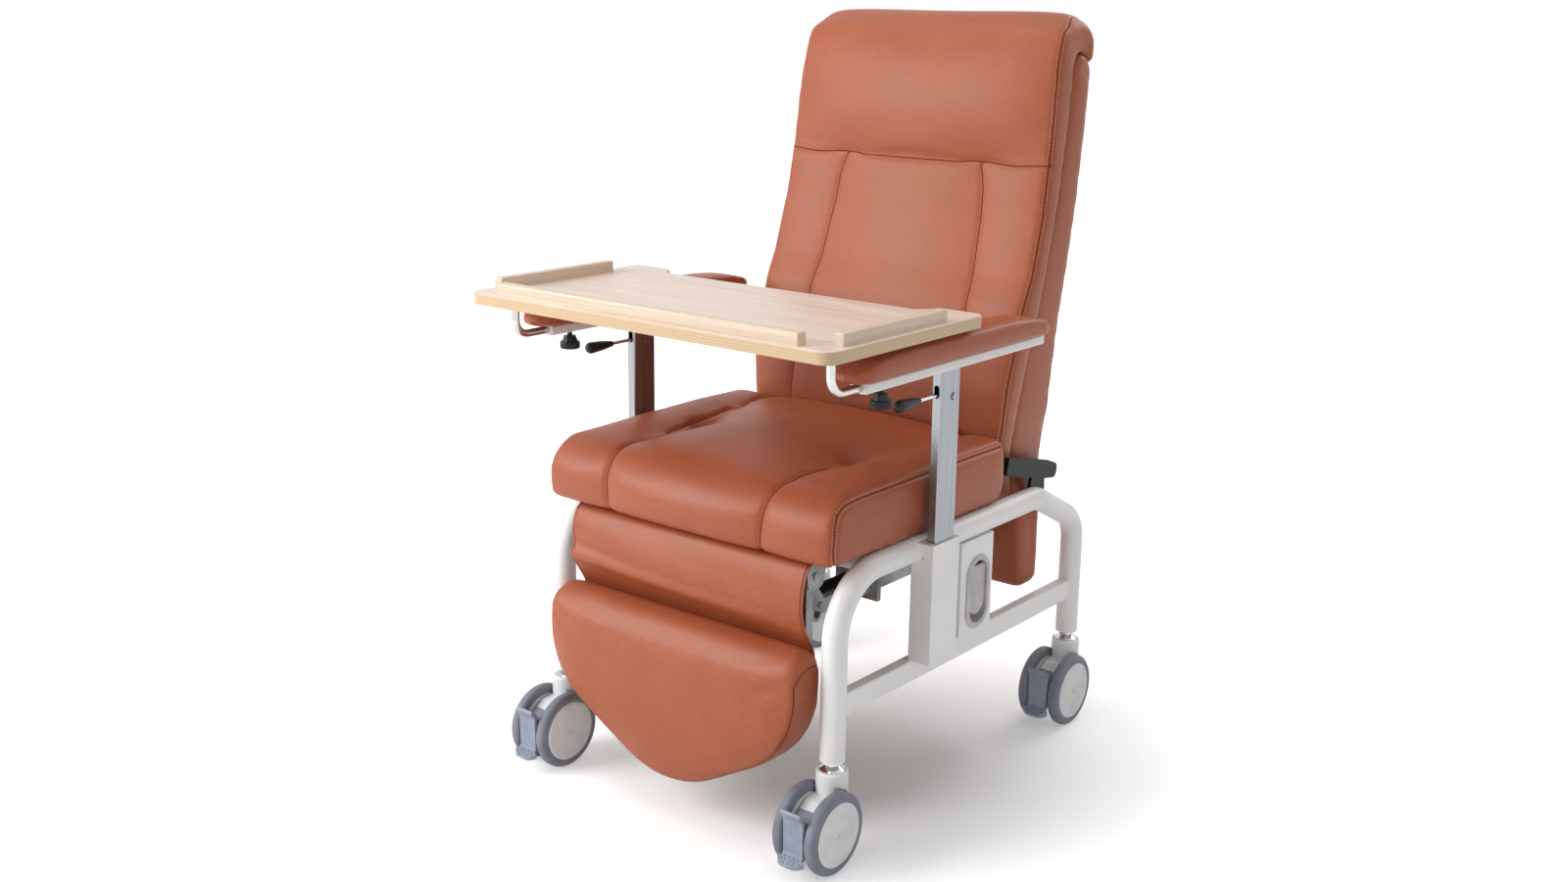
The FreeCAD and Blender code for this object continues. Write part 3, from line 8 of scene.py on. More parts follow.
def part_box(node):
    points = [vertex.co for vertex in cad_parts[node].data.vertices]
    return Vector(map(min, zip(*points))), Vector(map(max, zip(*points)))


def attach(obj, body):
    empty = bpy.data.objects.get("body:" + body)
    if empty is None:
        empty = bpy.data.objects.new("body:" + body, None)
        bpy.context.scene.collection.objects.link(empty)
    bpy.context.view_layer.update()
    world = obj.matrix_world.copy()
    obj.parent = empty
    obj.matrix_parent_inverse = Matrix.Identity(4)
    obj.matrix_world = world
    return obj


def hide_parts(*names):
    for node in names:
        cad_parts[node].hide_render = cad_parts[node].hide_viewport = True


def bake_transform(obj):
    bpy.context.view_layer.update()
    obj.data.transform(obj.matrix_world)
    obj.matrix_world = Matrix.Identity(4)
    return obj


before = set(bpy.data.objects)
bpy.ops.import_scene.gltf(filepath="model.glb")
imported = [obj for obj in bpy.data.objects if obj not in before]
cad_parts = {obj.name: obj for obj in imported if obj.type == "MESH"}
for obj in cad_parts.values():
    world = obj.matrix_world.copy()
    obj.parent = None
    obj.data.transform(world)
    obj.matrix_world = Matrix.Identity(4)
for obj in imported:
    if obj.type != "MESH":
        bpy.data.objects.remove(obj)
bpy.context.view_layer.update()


# Welded base: two bent steel tubes, lower rails, cross tubes and the post sockets.
# The steel is sprayed with powder and baked, so it is a warm white with a faint orange peel.
def linear(code):
    """sRGB hex to the linear colour that a shader reads."""
    parts = [int(code[i:i + 2], 16) / 255 for i in (1, 3, 5)]
    return [c / 12.92 if c <= 0.04045 else ((c + 0.055) / 1.055) ** 2.4 for c in parts] + [1.0]


def feed(tree, node, feeds):
    """Gives a node's inputs their values, or links them to other nodes' outputs."""
    for key, value in feeds.items():
        if isinstance(value, bpy.types.NodeSocket):
            tree.links.new(value, node.inputs[key])
        else:
            node.inputs[key].default_value = value


def add_node(tree, kind, feeds, ramp=(), **settings):
    """One node: settings are its own properties, ramp its colour stops, and feeds go to its inputs."""
    node = tree.nodes.new(kind)
    for key, value in settings.items():
        setattr(node, key, value)
    for i, (position, code) in enumerate(ramp):
        node.color_ramp.elements[i].position = position
        node.color_ramp.elements[i].color = linear(code)
    feed(tree, node, feeds)
    return node


def new_finish(name):
    """A material, with its node tree, its shader and the Object coordinates for its patterns."""
    material = bpy.data.materials.new(name)
    material.use_nodes = True
    tree = material.node_tree
    place = add_node(tree, "ShaderNodeTexCoord", {})
    return material, tree, tree.nodes["Principled BSDF"], place.outputs["Object"]


def dress(material, *names):
    """Gives the finish to pieces of the frame."""
    for name in names:
        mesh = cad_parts[name].data
        mesh.materials.clear()
        mesh.materials.append(material)


powder_coat, tree, shader, place = new_finish("white_powder_coat")
# Orange peel with 2.5 mm waves, a little coarser than the real 1 mm so that it shows.
peel = add_node(tree, "ShaderNodeTexNoise", {"Vector": place, "Scale": 1 / 0.0025, "Detail": 2.0})
cloud = add_node(tree, "ShaderNodeTexNoise", {"Vector": place, "Scale": 1 / 0.09, "Detail": 4.0})
tones = ((0.3, "#ECEBEA"), (0.7, "#F4F3F2"))
shade = add_node(tree, "ShaderNodeValToRGB", {"Fac": cloud.outputs["Fac"]}, tones)
gloss = add_node(tree, "ShaderNodeMapRange", {"Value": cloud.outputs["Fac"], "To Min": 0.28, "To Max": 0.42})
bump = add_node(tree, "ShaderNodeBump", {"Height": peel.outputs["Fac"], "Strength": 0.12, "Distance": 0.0004})
feed(tree, shader, {"Base Color": shade.outputs["Color"], "Roughness": gloss.outputs["Result"], "IOR": 1.5})
feed(tree, shader, {"Normal": bump.outputs["Normal"]})
dress(powder_coat, "left_side_frame", "right_side_frame", "lower_rails", "cross_tubes")
dress(powder_coat, "post_sockets", "release_box")


# Seat frame, recline brackets, push bar, back frame and legrest frame: bent flat steel and tube.
# They are zinc plated, a cool grey with cloudy spangle and a satin shine.
zinc, tree, shader, place = new_finish("zinc_plated_steel")
# Crystals 12 mm across, and 30 mm streaks from the bath.
spangle = add_node(tree, "ShaderNodeTexVoronoi", {"Vector": place, "Scale": 1 / 0.012})
streak = add_node(tree, "ShaderNodeTexNoise", {"Vector": place, "Scale": 1 / 0.03, "Detail": 5.0})
tones = ((0.3, "#8E9092"), (0.72, "#B4B5B5"))
shade = add_node(tree, "ShaderNodeValToRGB", {"Fac": streak.outputs["Fac"]}, tones)
facets = {"Value": spangle.outputs["Distance"], "To Min": 0.3, "To Max": 0.48}
gloss = add_node(tree, "ShaderNodeMapRange", facets)
feed(tree, shader, {"Base Color": shade.outputs["Color"], "Roughness": gloss.outputs["Result"],
                    "Metallic": 0.85})
dress(zinc, "seat_frame", "recline_brackets", "push_bar", "back_frame", "legrest_frame")


# Seat, back and footrest boards: sanded plywood under the upholstery.
# The long fibres run across the chair and the veneer is a dull yellow brown.
board_wood, tree, shader, place = new_finish("sanded_plywood")
# Fibres 6 mm wide and 170 mm long.
stretch = add_node(tree, "ShaderNodeMapping", {"Vector": place, "Scale": (6.0, 160.0, 160.0)})
fibre = add_node(tree, "ShaderNodeTexNoise", {"Vector": stretch.outputs["Vector"], "Scale": 1.0,
                                              "Detail": 5.0})
tones = ((0.3, "#8C6A45"), (0.7, "#B08C62"))
shade = add_node(tree, "ShaderNodeValToRGB", {"Fac": fibre.outputs["Fac"]}, tones)
bump = add_node(tree, "ShaderNodeBump", {"Height": fibre.outputs["Fac"], "Strength": 0.2, "Distance": 0.0004})
feed(tree, shader, {"Base Color": shade.outputs["Color"], "Normal": bump.outputs["Normal"],
                    "Roughness": 0.75})
dress(board_wood, "seat_board", "back_board", "footrest_board")


# Hinge arms and gas spring: steel painted satin black, with chrome for the rod.
# The paint is thin, so its gloss is uneven and slightly grey on the flats.
black_paint, tree, shader, place = new_finish("satin_black_paint")
cloud = add_node(tree, "ShaderNodeTexNoise", {"Vector": place, "Scale": 1 / 0.02, "Detail": 4.0})
tones = ((0.0, "#0E0E0F"), (1.0, "#1A1A1B"))
shade = add_node(tree, "ShaderNodeValToRGB", {"Fac": cloud.outputs["Fac"]}, tones)
gloss = add_node(tree, "ShaderNodeMapRange", {"Value": cloud.outputs["Fac"], "To Min": 0.34, "To Max": 0.52})
feed(tree, shader, {"Base Color": shade.outputs["Color"], "Roughness": gloss.outputs["Result"]})
feed(tree, shader, {"Specular IOR Level": 0.2})
dress(black_paint, "hinge_arms", "gas_spring_cylinder")

# Chrome over polished steel: a mirror with a faint 15 mm haze from handling.
chrome, tree, shader, place = new_finish("chrome_plate")
haze = add_node(tree, "ShaderNodeTexNoise", {"Vector": place, "Scale": 1 / 0.015, "Detail": 3.0})
tones = ((0.0, "#BFC1C3"), (1.0, "#DADBDC"))
shade = add_node(tree, "ShaderNodeValToRGB", {"Fac": haze.outputs["Fac"]}, tones)
gloss = add_node(tree, "ShaderNodeMapRange", {"Value": haze.outputs["Fac"], "To Min": 0.06, "To Max": 0.16})
feed(tree, shader, {"Base Color": shade.outputs["Color"], "Roughness": gloss.outputs["Result"],
                    "Metallic": 1.0})
dress(chrome, "caster_stems", "gas_spring_rod", "left_lever_rod", "right_lever_rod")


# Release pull: a satin grey moulding in the white box on the sitter's left.
# Fine spark erosion texture, with a slight sink cloud over the thick parts.
release_plastic, tree, shader, place = new_finish("moulded_grey_abs")
pebble = add_node(tree, "ShaderNodeTexNoise", {"Vector": place, "Scale": 1 / 0.0012, "Detail": 2.0})
cloud = add_node(tree, "ShaderNodeTexNoise", {"Vector": place, "Scale": 1 / 0.03, "Detail": 3.0})
tones = ((0.3, "#B4B1B0"), (0.7, "#C8C5C3"))
shade = add_node(tree, "ShaderNodeValToRGB", {"Fac": cloud.outputs["Fac"]}, tones)
bump = add_node(tree, "ShaderNodeBump", {"Height": pebble.outputs["Fac"], "Strength": 0.15,
                                         "Distance": 0.0003})
feed(tree, shader, {"Base Color": shade.outputs["Color"], "Normal": bump.outputs["Normal"],
                    "Roughness": 0.42})
dress(release_plastic, "release_bezel", "release_paddle")


# Seat cushion: foam under tan leather, the top and front cut in one piece with two long seams,
# and separate side panels. The seams pull the leather down, deepest at the two tufts.
def outline_points(piece):
    """The piece's points as an array, in metres."""
    points = np.zeros(len(piece.data.vertices) * 3)
    piece.data.vertices.foreach_get("co", points)
    return points.reshape(-1, 3)


def set_points(piece, points):
    """Moves the piece's points to the array's places."""
    piece.data.vertices.foreach_set("co", points.ravel())
    piece.data.update()


def pick_up(piece):
    """Selects the piece alone, for the operators that act on what is selected."""
    bpy.ops.object.select_all(action="DESELECT")
    bpy.context.view_layer.objects.active = piece
    piece.select_set(True)


def run_modifier(piece, kind, **settings):
    """Adds one modifier to the piece and applies it."""
    pick_up(piece)
    modifier = piece.modifiers.new(kind.title(), kind)
    for key, value in settings.items():
        setattr(modifier, key, value)
    bpy.ops.object.modifier_apply(modifier=modifier.name)


def block(name, middle, size):
    """A cube at its size and place, to be shaped further."""
    bpy.ops.object.select_all(action="DESELECT")
    bpy.ops.mesh.primitive_cube_add(size=1.0, location=middle)
    piece = bpy.context.object
    piece.name = name
    piece.scale = size
    bpy.ops.object.transform_apply(location=True, rotation=True, scale=True)
    return piece


def round_edges(piece, *rounds):
    """Bevels the edges whose middles are picked, each group by its own radius."""
    bpy.ops.object.mode_set(mode="EDIT")
    bpy.ops.mesh.select_mode(type="EDGE")
    for pick, radius, segments in rounds:
        bpy.ops.mesh.select_all(action="DESELECT")
        bpy.ops.object.mode_set(mode="OBJECT")
        for edge in piece.data.edges:
            a, b = (piece.data.vertices[i].co for i in edge.vertices)
            edge.select = bool(pick((a + b) / 2))
        bpy.ops.object.mode_set(mode="EDIT")
        bpy.ops.mesh.bevel(offset=radius, segments=segments, affect="EDGES")
    bpy.ops.object.mode_set(mode="OBJECT")


def stitch_line(corners, step=0.003):
    """Points every few millimetres along a seam's corners."""
    points = [np.array(corners[0])]
    for a, b in zip(corners, corners[1:]):
        a, b = np.array(a), np.array(b)
        count = max(1, int(np.linalg.norm(b - a) / step))
        points += [a + (b - a) * (i + 1) / count for i in range(count)]
    return np.array(points)


def on_leather(piece, lines):
    """Lays each seam onto the surface."""
    laid = []
    for line in lines:
        spots = np.array([piece.closest_point_on_mesh(Vector(p))[1] for p in line])
        for _ in range(3):
            spots[1:-1] = (spots[:-2] + spots[1:-1] * 2 + spots[2:]) / 4
        laid.append(spots)
    return laid


# A run of -1.5 mm falls between two stitches, so a plain seam shows none.
no_stitch = -0.0015


def seam_reach(points, normals, lines, stitched):
    """For each point: how far the nearest seam is, the same signed by its side, and the run along it."""
    tree = KDTree(sum(len(line) for line in lines))
    spots, along, heads = [], [], []
    for line, shows in zip(lines, stitched):
        steps = np.linalg.norm(np.diff(line, axis=0), axis=1)
        runs = np.concatenate([[0], np.cumsum(steps)])
        along += list(runs) if shows else [no_stitch] * len(line)
        heads += list(np.gradient(line, axis=0))
        for p in line:
            tree.insert(Vector(p), len(spots))
            spots.append(p)
    tree.balance()
    near = np.array([tree.find(Vector(p))[1] for p in points])
    head = np.array(heads)[near]
    head /= np.maximum(np.linalg.norm(head, axis=1, keepdims=True), 1e-9)
    off = points - np.array(spots)[near]
    off -= head * np.sum(off * head, axis=1, keepdims=True)
    reach = np.linalg.norm(points - np.array(spots)[near], axis=1)
    side = np.sign(np.sum(np.cross(head, normals) * off, axis=1)) * np.linalg.norm(off, axis=1)
    return reach, side, np.array(along)[near]


def swell(piece, voxel, lines, held, cap, ease=4):
    """Leather over foam: even mesh, cloth blown up between its sewn lines, its movement capped."""
    run_modifier(piece, "REMESH", mode="VOXEL", voxel_size=voxel)
    start = outline_points(piece)
    pinned = held(start)
    if lines:
        reach, _, _ = seam_reach(start, start, on_leather(piece, lines), [False] * len(lines))
        pinned = pinned | (reach < voxel * 0.8)
    sewn = piece.vertex_groups.new(name="sewn")
    sewn.add([int(i) for i in np.nonzero(pinned)[0]], 1.0, "REPLACE")
    cloth = piece.modifiers.new("Cloth", "CLOTH")
    cloth.settings.vertex_group_mass = "sewn"
    cloth.settings.tension_stiffness = 15.0
    cloth.settings.compression_stiffness = 15.0
    cloth.settings.bending_stiffness = 2.0
    cloth.settings.use_pressure = True
    cloth.settings.uniform_pressure_force = 4.0
    cloth.settings.effector_weights.gravity = 0.0
    for step in range(1, 21):
        bpy.context.scene.frame_set(step)
    blown = piece.evaluated_get(bpy.context.evaluated_depsgraph_get())
    end = np.zeros(len(start) * 3)
    blown.data.vertices.foreach_get("co", end)
    move = end.reshape(-1, 3) - start
    length = np.linalg.norm(move, axis=1, keepdims=True)
    move *= np.minimum(1.0, cap / np.maximum(length, 1e-9))
    piece.modifiers.remove(cloth)
    bpy.context.scene.frame_set(1)
    set_points(piece, start + move)
    run_modifier(piece, "SMOOTH", factor=0.5, iterations=ease)


def sew(piece, lines, stitched, depth, width):
    """Finer mesh, grooves along the seams, and the seam distances that the leather's stitching reads."""
    run_modifier(piece, "SUBSURF", levels=1, render_levels=1)
    points = outline_points(piece)
    normals = np.zeros(len(points) * 3)
    piece.data.vertex_normals.foreach_get("vector", normals)
    normals = normals.reshape(-1, 3)
    # A piece with no seam reads as 90 mm from one.
    reach = side = np.full(len(points), 0.09)
    run = np.full(len(points), no_stitch)
    if lines:
        reach, side, run = seam_reach(points, normals, on_leather(piece, lines), stitched)
        groove = depth * np.exp(-(reach / width) ** 2)
        set_points(piece, points - normals * groove[:, None])
    for name, values in (("seam_mm", reach), ("side_mm", side), ("run_mm", run)):
        attribute = piece.data.attributes.new(name, "FLOAT", "POINT")
        attribute.data.foreach_set("value", (values * 1000).astype(np.float32))
    pick_up(piece)
    bpy.ops.object.shade_smooth()


# Upholstery leather, drum dyed and embossed: a red tan with a pebble grain and a soft sheen.
leather, tree, shader, place = new_finish("tan_upholstery_leather")
# Pebbles 2.4 mm across, about twice the real grain, so that they show. A 6 mm wave makes them uneven.
warp = add_node(tree, "ShaderNodeTexNoise", {"Vector": place, "Scale": 1 / 0.006, "Detail": 2.0})
uneven = {0: warp.outputs["Color"], 1: (0.0015, 0.0015, 0.0015), 2: place}
bend = add_node(tree, "ShaderNodeVectorMath", uneven, operation="MULTIPLY_ADD")
grain = {"Vector": bend.outputs["Vector"], "Scale": 1 / 0.0024}
pebble = add_node(tree, "ShaderNodeTexVoronoi", grain, feature="DISTANCE_TO_EDGE")
crease = add_node(tree, "ShaderNodeMapRange", {"Value": pebble.outputs["Distance"], "From Max": 0.25})
cloud = add_node(tree, "ShaderNodeTexNoise", {"Vector": place, "Scale": 1 / 0.07, "Detail": 5.0})
tones = ((0.3, "#A75636"), (0.7, "#B2623F"))
tone = add_node(tree, "ShaderNodeValToRGB", {"Fac": cloud.outputs["Fac"]}, tones)
creased = {"Factor": crease.outputs["Result"], "A": linear("#984C2F"), "B": tone.outputs["Color"]}
worn = add_node(tree, "ShaderNodeMix", creased, data_type="RGBA")
# The signed distance draws a seam as a crisp line of painted shade, where the crease's shadow falls,
# and the plain one keeps it to the seam's own neighbourhood. All of these distances are in millimetres.
seam = add_node(tree, "ShaderNodeAttribute", {}, attribute_name="seam_mm")
side = add_node(tree, "ShaderNodeAttribute", {}, attribute_name="side_mm")
run = add_node(tree, "ShaderNodeAttribute", {}, attribute_name="run_mm")
close = add_node(tree, "ShaderNodeMath", {0: side.outputs["Fac"]}, operation="ABSOLUTE")
far = add_node(tree, "ShaderNodeMath", {0: seam.outputs["Fac"], 1: 3.0}, operation="SUBTRACT")
apart = add_node(
    tree, "ShaderNodeMath", {0: close.outputs["Value"], 1: far.outputs["Value"]}, operation="MAXIMUM"
)
fold_edges = {"Value": apart.outputs["Value"], "From Min": 0.4, "From Max": 1.6}
fold = add_node(tree, "ShaderNodeMapRange", fold_edges)
# Painted shade: the seam's crease is coloured dark brown, as its shadow.
seam_shade_colours = {"Factor": fold.outputs["Result"], "A": linear("#5E1D06"), "B": worn.outputs["Result"]}
seam_shaded = add_node(tree, "ShaderNodeMix", seam_shade_colours, data_type="RGBA")
# Top stitching beside the seam: its distance, the pitch of its stitches and the thread's width.
stitch_off, stitch_pitch, thread_wide = 4.0, 6.0, 1.2
beside = add_node(tree, "ShaderNodeMath", {0: apart.outputs["Value"], 1: stitch_off}, operation="SUBTRACT")
off_line = add_node(tree, "ShaderNodeMath", {0: beside.outputs["Value"]}, operation="ABSOLUTE")
in_line = add_node(
    tree, "ShaderNodeMath", {0: off_line.outputs["Value"], 1: thread_wide / 2}, operation="LESS_THAN"
)
turns = add_node(
    tree, "ShaderNodeMath", {0: run.outputs["Fac"], 1: 2 * math.pi / stitch_pitch}, operation="MULTIPLY"
)
wave = add_node(tree, "ShaderNodeMath", {0: turns.outputs["Value"]}, operation="SINE")
dash = add_node(tree, "ShaderNodeMath", {0: wave.outputs["Value"], 1: -0.45}, operation="GREATER_THAN")
thread = add_node(
    tree, "ShaderNodeMath", {0: in_line.outputs["Value"], 1: dash.outputs["Value"]}, operation="MULTIPLY"
)
threaded = {"Factor": thread.outputs["Value"], "A": seam_shaded.outputs["Result"], "B": linear("#CB8263")}
sewn = add_node(tree, "ShaderNodeMix", threaded, data_type="RGBA")
heights = {0: thread.outputs["Value"], 1: 1.5, 2: crease.outputs["Result"]}
relief = add_node(tree, "ShaderNodeMath", heights, operation="MULTIPLY_ADD")
bump = add_node(tree, "ShaderNodeBump", {"Height": relief.outputs["Value"], "Strength": 0.22,
                                         "Distance": 0.0004})
gloss = add_node(tree, "ShaderNodeMapRange", {"Value": cloud.outputs["Fac"], "To Min": 0.38, "To Max": 0.48})
# The fold of a seam takes no polish.
polish = {"Value": fold.outputs["Result"], "To Min": 0.95, "To Max": gloss.outputs["Result"]}
dull = add_node(tree, "ShaderNodeMapRange", polish)
feed(tree, shader, {"Base Color": sewn.outputs["Result"], "Roughness": dull.outputs["Result"]})
feed(tree, shader, {"Normal": bump.outputs["Normal"], "IOR": 1.5, "Specular IOR Level": 0.36})

seat_low, seat_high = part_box("seat_cushion")
seat_half = 0.2805
seat_front, seat_rear = seat_low.y + 0.002, seat_high.y - 0.003
seat_floor, seat_top = seat_low.z, 0.547
seat_voxel = 0.006
tuft_x, tuft_y = 0.162, -0.084
seat = block(
    "seat_upholstery",
    (0, (seat_front + seat_rear) / 2, (seat_floor + seat_top) / 2),
    (2 * seat_half, seat_rear - seat_front, seat_top - seat_floor),
)
round_edges(
    seat,
    (lambda m: m.y < seat_front + 0.001 and abs(m.x) < 0.01 and m.z > 0.5, 0.052, 8),
    (lambda m: m.y < seat_front + 0.001 and abs(m.x) < 0.01 and m.z < 0.5, 0.012, 3),
    (lambda m: abs(m.x) > seat_half - 0.001 and m.y > seat_front + 0.05 and m.z > 0.5, 0.010, 3),
    (lambda m: m.y > seat_rear - 0.001 and abs(m.x) < 0.01, 0.020, 4),
)
seat_seams = []
for side in (-1, 1):
    long_seam = [
        (side * 0.151, seat_front + 0.02, seat_floor),
        (side * 0.153, seat_front, 0.475),
        (side * 0.156, seat_front, 0.510),
        (side * 0.158, seat_front + 0.02, 0.56),
        (side * 0.160, seat_front + 0.07, 0.58),
        (side * 0.161, -0.16, 0.58),
        (side * 0.161, -0.110, 0.57),
        (side * tuft_x, tuft_y, 0.57),
        (side * 0.168, -0.058, 0.57),
        (side * 0.180, 0.0, 0.58),
        (side * 0.197, 0.070, 0.58),
        (side * 0.206, seat_rear, 0.55),
    ]
    seat_seams.append(stitch_line(long_seam))
for side in (-1, 1):
    edge_seam = [
        (side * seat_half, seat_rear - 0.012, 0.5445),
        (side * seat_half, seat_front + 0.08, 0.5455),
        (side * seat_half, seat_front + 0.034, 0.5425),
        (side * seat_half, seat_front + 0.017, 0.532),
        (side * seat_half, seat_front + 0.010, 0.512),
        (side * seat_half, seat_front + 0.007, 0.480),
        (side * seat_half, seat_front + 0.009, seat_floor + 0.012),
        (side * (seat_half - 0.002), seat_front + 0.02, seat_floor),
    ]
    seat_seams.append(stitch_line(edge_seam))
run_modifier(seat, "REMESH", mode="VOXEL", voxel_size=seat_voxel)
points = outline_points(seat)
x, y, z = points.T
top = np.clip((z - seat_floor - 0.03) / (seat_top - seat_floor - 0.03), 0, 1) ** 2
line_x = np.interp(y, [-0.32, tuft_y, 0.07, 0.15], [0.157, tuft_x, 0.197, 0.206])
middle = np.clip(1 - (x / line_x) ** 4, 0, 1)
outer = np.clip(1 - ((np.abs(x) - (line_x + seat_half) / 2) / ((seat_half - line_x) / 2)) ** 2, 0, 1) ** 0.7
crown = np.where(np.abs(x) < line_x, 0.017 * middle, 0.009 * outer) + 0.003
crown_y = [seat_front, seat_front + 0.06, seat_front + 0.2, seat_rear - 0.12, seat_rear]
crown *= np.interp(y, crown_y, [0.2, 0.5, 0.95, 1, 0.6])
valley = np.exp(-((np.abs(x) - line_x) / 0.024) ** 2)
valley = valley * np.interp(y, [-0.26, -0.12, tuft_y, -0.03, 0.09], [0, 0.6, 1, 0.6, 0.1])
tuft = np.exp(-((np.abs(x) - tuft_x) ** 2 + (y - tuft_y) ** 2) / 0.034 ** 2)
points[:, 2] = z + top * (crown - 0.010 * valley - 0.015 * tuft)
# The front bulges between its seams like a roll, and the side panels are full at half height.
face = np.clip((seat_front + 0.05 - y) / 0.05, 0, 1)
fullness = np.where(np.abs(x) < line_x, 0.011 * middle, 0.006 * outer)
points[:, 1] = y - face * fullness * np.clip(1 - ((z - 0.495) / 0.06) ** 2, 0, 1)
flank = np.clip((np.abs(x) - 0.22) / (seat_half - 0.22), 0, 1)
points[:, 0] = x * (1 + 0.012 * flank * np.clip(1 - ((z - 0.497) / 0.05) ** 2, 0, 1))
set_points(seat, points)
swell(seat, seat_voxel, seat_seams, lambda p: p[:, 2] < seat_floor + 0.006, 0.006)
sew(seat, seat_seams, [False, False, True, True], 0.0034, 0.005)
seat.data.materials.append(leather)
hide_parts("seat_cushion")
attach(seat, "base")


# Back panel: a board wrapped in leather, curved to the spine, with a tail that hides the recline gear.
# It is closed by a sewn edge round the rear panel, and the cushion is sewn along its front edge.
# Side-view points (y, z) are drawn in millimetres, with y from 45 mm behind the middle of the frame.
MID = 0.045
back_half, back_voxel = 0.25, 0.0065
joint_line = [
    (165, 490), (161, 526), (165, 583), (178, 638), (191, 693), (208, 739), (229, 816), (258, 912),
    (273, 990), (288, 1078), (296, 1116),
]
panel_front = [(219, 258), (213, 400), (206, 430), (184, 458)] + joint_line
panel_top = [(301, 1126), (307, 1137), (314, 1145), (322, 1149), (334, 1147.5), (344, 1142), (351, 1133)]
panel_rear = [
    (358, 1120), (357, 1103), (354, 1075), (350, 1030), (335, 910), (316, 800), (298, 710), (284, 620),
    (277, 570), (275, 520), (277, 470), (281, 430), (285, 388), (287, 320), (287, 258),
]


def extruded(name, outline, push):
    """A flat outline, drawn from a circle's points and extruded by push."""
    bpy.ops.object.select_all(action="DESELECT")
    bpy.ops.mesh.primitive_circle_add(vertices=len(outline), fill_type="NGON")
    piece = bpy.context.object
    piece.name = name
    set_points(piece, np.array(outline))
    bpy.ops.object.mode_set(mode="EDIT")
    bpy.ops.mesh.select_all(action="SELECT")
    bpy.ops.mesh.extrude_region_move(TRANSFORM_OT_translate={"value": push})
    bpy.ops.mesh.select_all(action="SELECT")
    bpy.ops.mesh.normals_make_consistent(inside=False)
    bpy.ops.object.mode_set(mode="OBJECT")
    return piece


def side_view(name, outline):
    """A side-view outline extruded across the chair."""
    flat = [(-back_half, py / 1000 + MID, pz / 1000) for py, pz in outline]
    return extruded(name, flat, (2 * back_half, 0, 0))


panel = side_view("back_panel", panel_front + panel_top + panel_rear)
run_modifier(panel, "BEVEL", width=0.010, segments=3, angle_limit=math.radians(50))
# The tail is slit for the push bar's crank.
slit = block("crank_slit", (0.160, 0.233 + MID, 0.338), (0.042, 0.088, 0.190))
run_modifier(panel, "BOOLEAN", object=slit, operation="DIFFERENCE", solver="EXACT")
bpy.data.objects.remove(slit)


def panel_half(z):
    """Half the panel's width at a height."""
    return np.interp(z, [0.49, 0.57, 1.10, 1.15], [0.247, 0.256, 0.259, 0.258])


def front_y(z):
    """Where the panel's front lies at a height."""
    return np.interp(z, [p[1] / 1000 for p in panel_front], [p[0] / 1000 + MID for p in panel_front])


panel_seams = []
for side in (-1, 1):
    rear_edge = []
    for py, pz in panel_rear[1:]:
        rear_edge.append((side * panel_half(pz / 1000), py / 1000 + MID - 0.012, pz / 1000))
    panel_seams.append(stitch_line(rear_edge))
panel_seams.append(stitch_line([(-0.24, 0.322, 0.570), (0.24, 0.322, 0.570)]))
run_modifier(panel, "REMESH", mode="VOXEL", voxel_size=back_voxel)
points = outline_points(panel)
points[:, 0] *= panel_half(points[:, 2]) / back_half
set_points(panel, points)
swell(panel, back_voxel, panel_seams, lambda p: p[:, 1] < front_y(p[:, 2]) + 0.012, 0.004)
sew(panel, panel_seams, [False, False, False], 0.003, 0.005)
panel.data.materials.append(leather)
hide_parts("back_shell")
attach(panel, "back")


# Back cushion: deep foam with a head roll that curls over the round top of the panel.
# One seam crosses below the head, two run down from it, and a stitched seam edges the front.
front_edge = [
    (150, 426), (128, 446), (119, 480), (117, 520), (117, 560), (120, 624), (132, 670), (154, 751),
    (177, 798), (205, 892), (220, 974), (228, 1030), (234, 1080), (241, 1126), (250, 1160), (261, 1182),
]
roll_edge = []
for i in range(11):
    turn = math.radians(136 - 14 * i)
    roll_edge.append((314 + (49 if turn < math.pi / 2 else 45) * math.cos(turn), 1159 + 45 * math.sin(turn)))
roll_edge += [(362, 1146), (361.5, 1137), (359, 1127)]
# The cushion's rear follows the panel, a hair in front of it and above it.
on_panel = [(py - 0.5, pz + 0.8) for py, pz in reversed(joint_line + panel_top)]
back_outline = [(176, 415)] + front_edge + roll_edge + on_panel + [(182, 440), (196, 418)]
cushion = side_view("back_upholstery", back_outline)
run_modifier(cushion, "BEVEL", width=0.010, segments=4, angle_limit=math.radians(50))
run_modifier(cushion, "REMESH", mode="VOXEL", voxel_size=back_voxel)


def cushion_half(z):
    """Half the cushion's width at a height."""
    widths = [
        (0.414, 0.232), (0.424, 0.244), (0.45, 0.250), (0.49, 0.254), (0.56, 0.262), (0.62, 0.266),
        (0.70, 0.268), (0.80, 0.268), (0.88, 0.267), (0.974, 0.264), (1.06, 0.262), (1.12, 0.260),
        (1.16, 0.258), (1.175, 0.257), (1.187, 0.254), (1.195, 0.250), (1.200, 0.246), (1.204, 0.240),
    ]
    return np.interp(z, [w[0] for w in widths], [w[1] for w in widths])


def chest_y(z):
    """Where the cushion's front lies at a height."""
    return np.interp(z, [p[1] / 1000 for p in front_edge], [p[0] / 1000 + MID for p in front_edge])


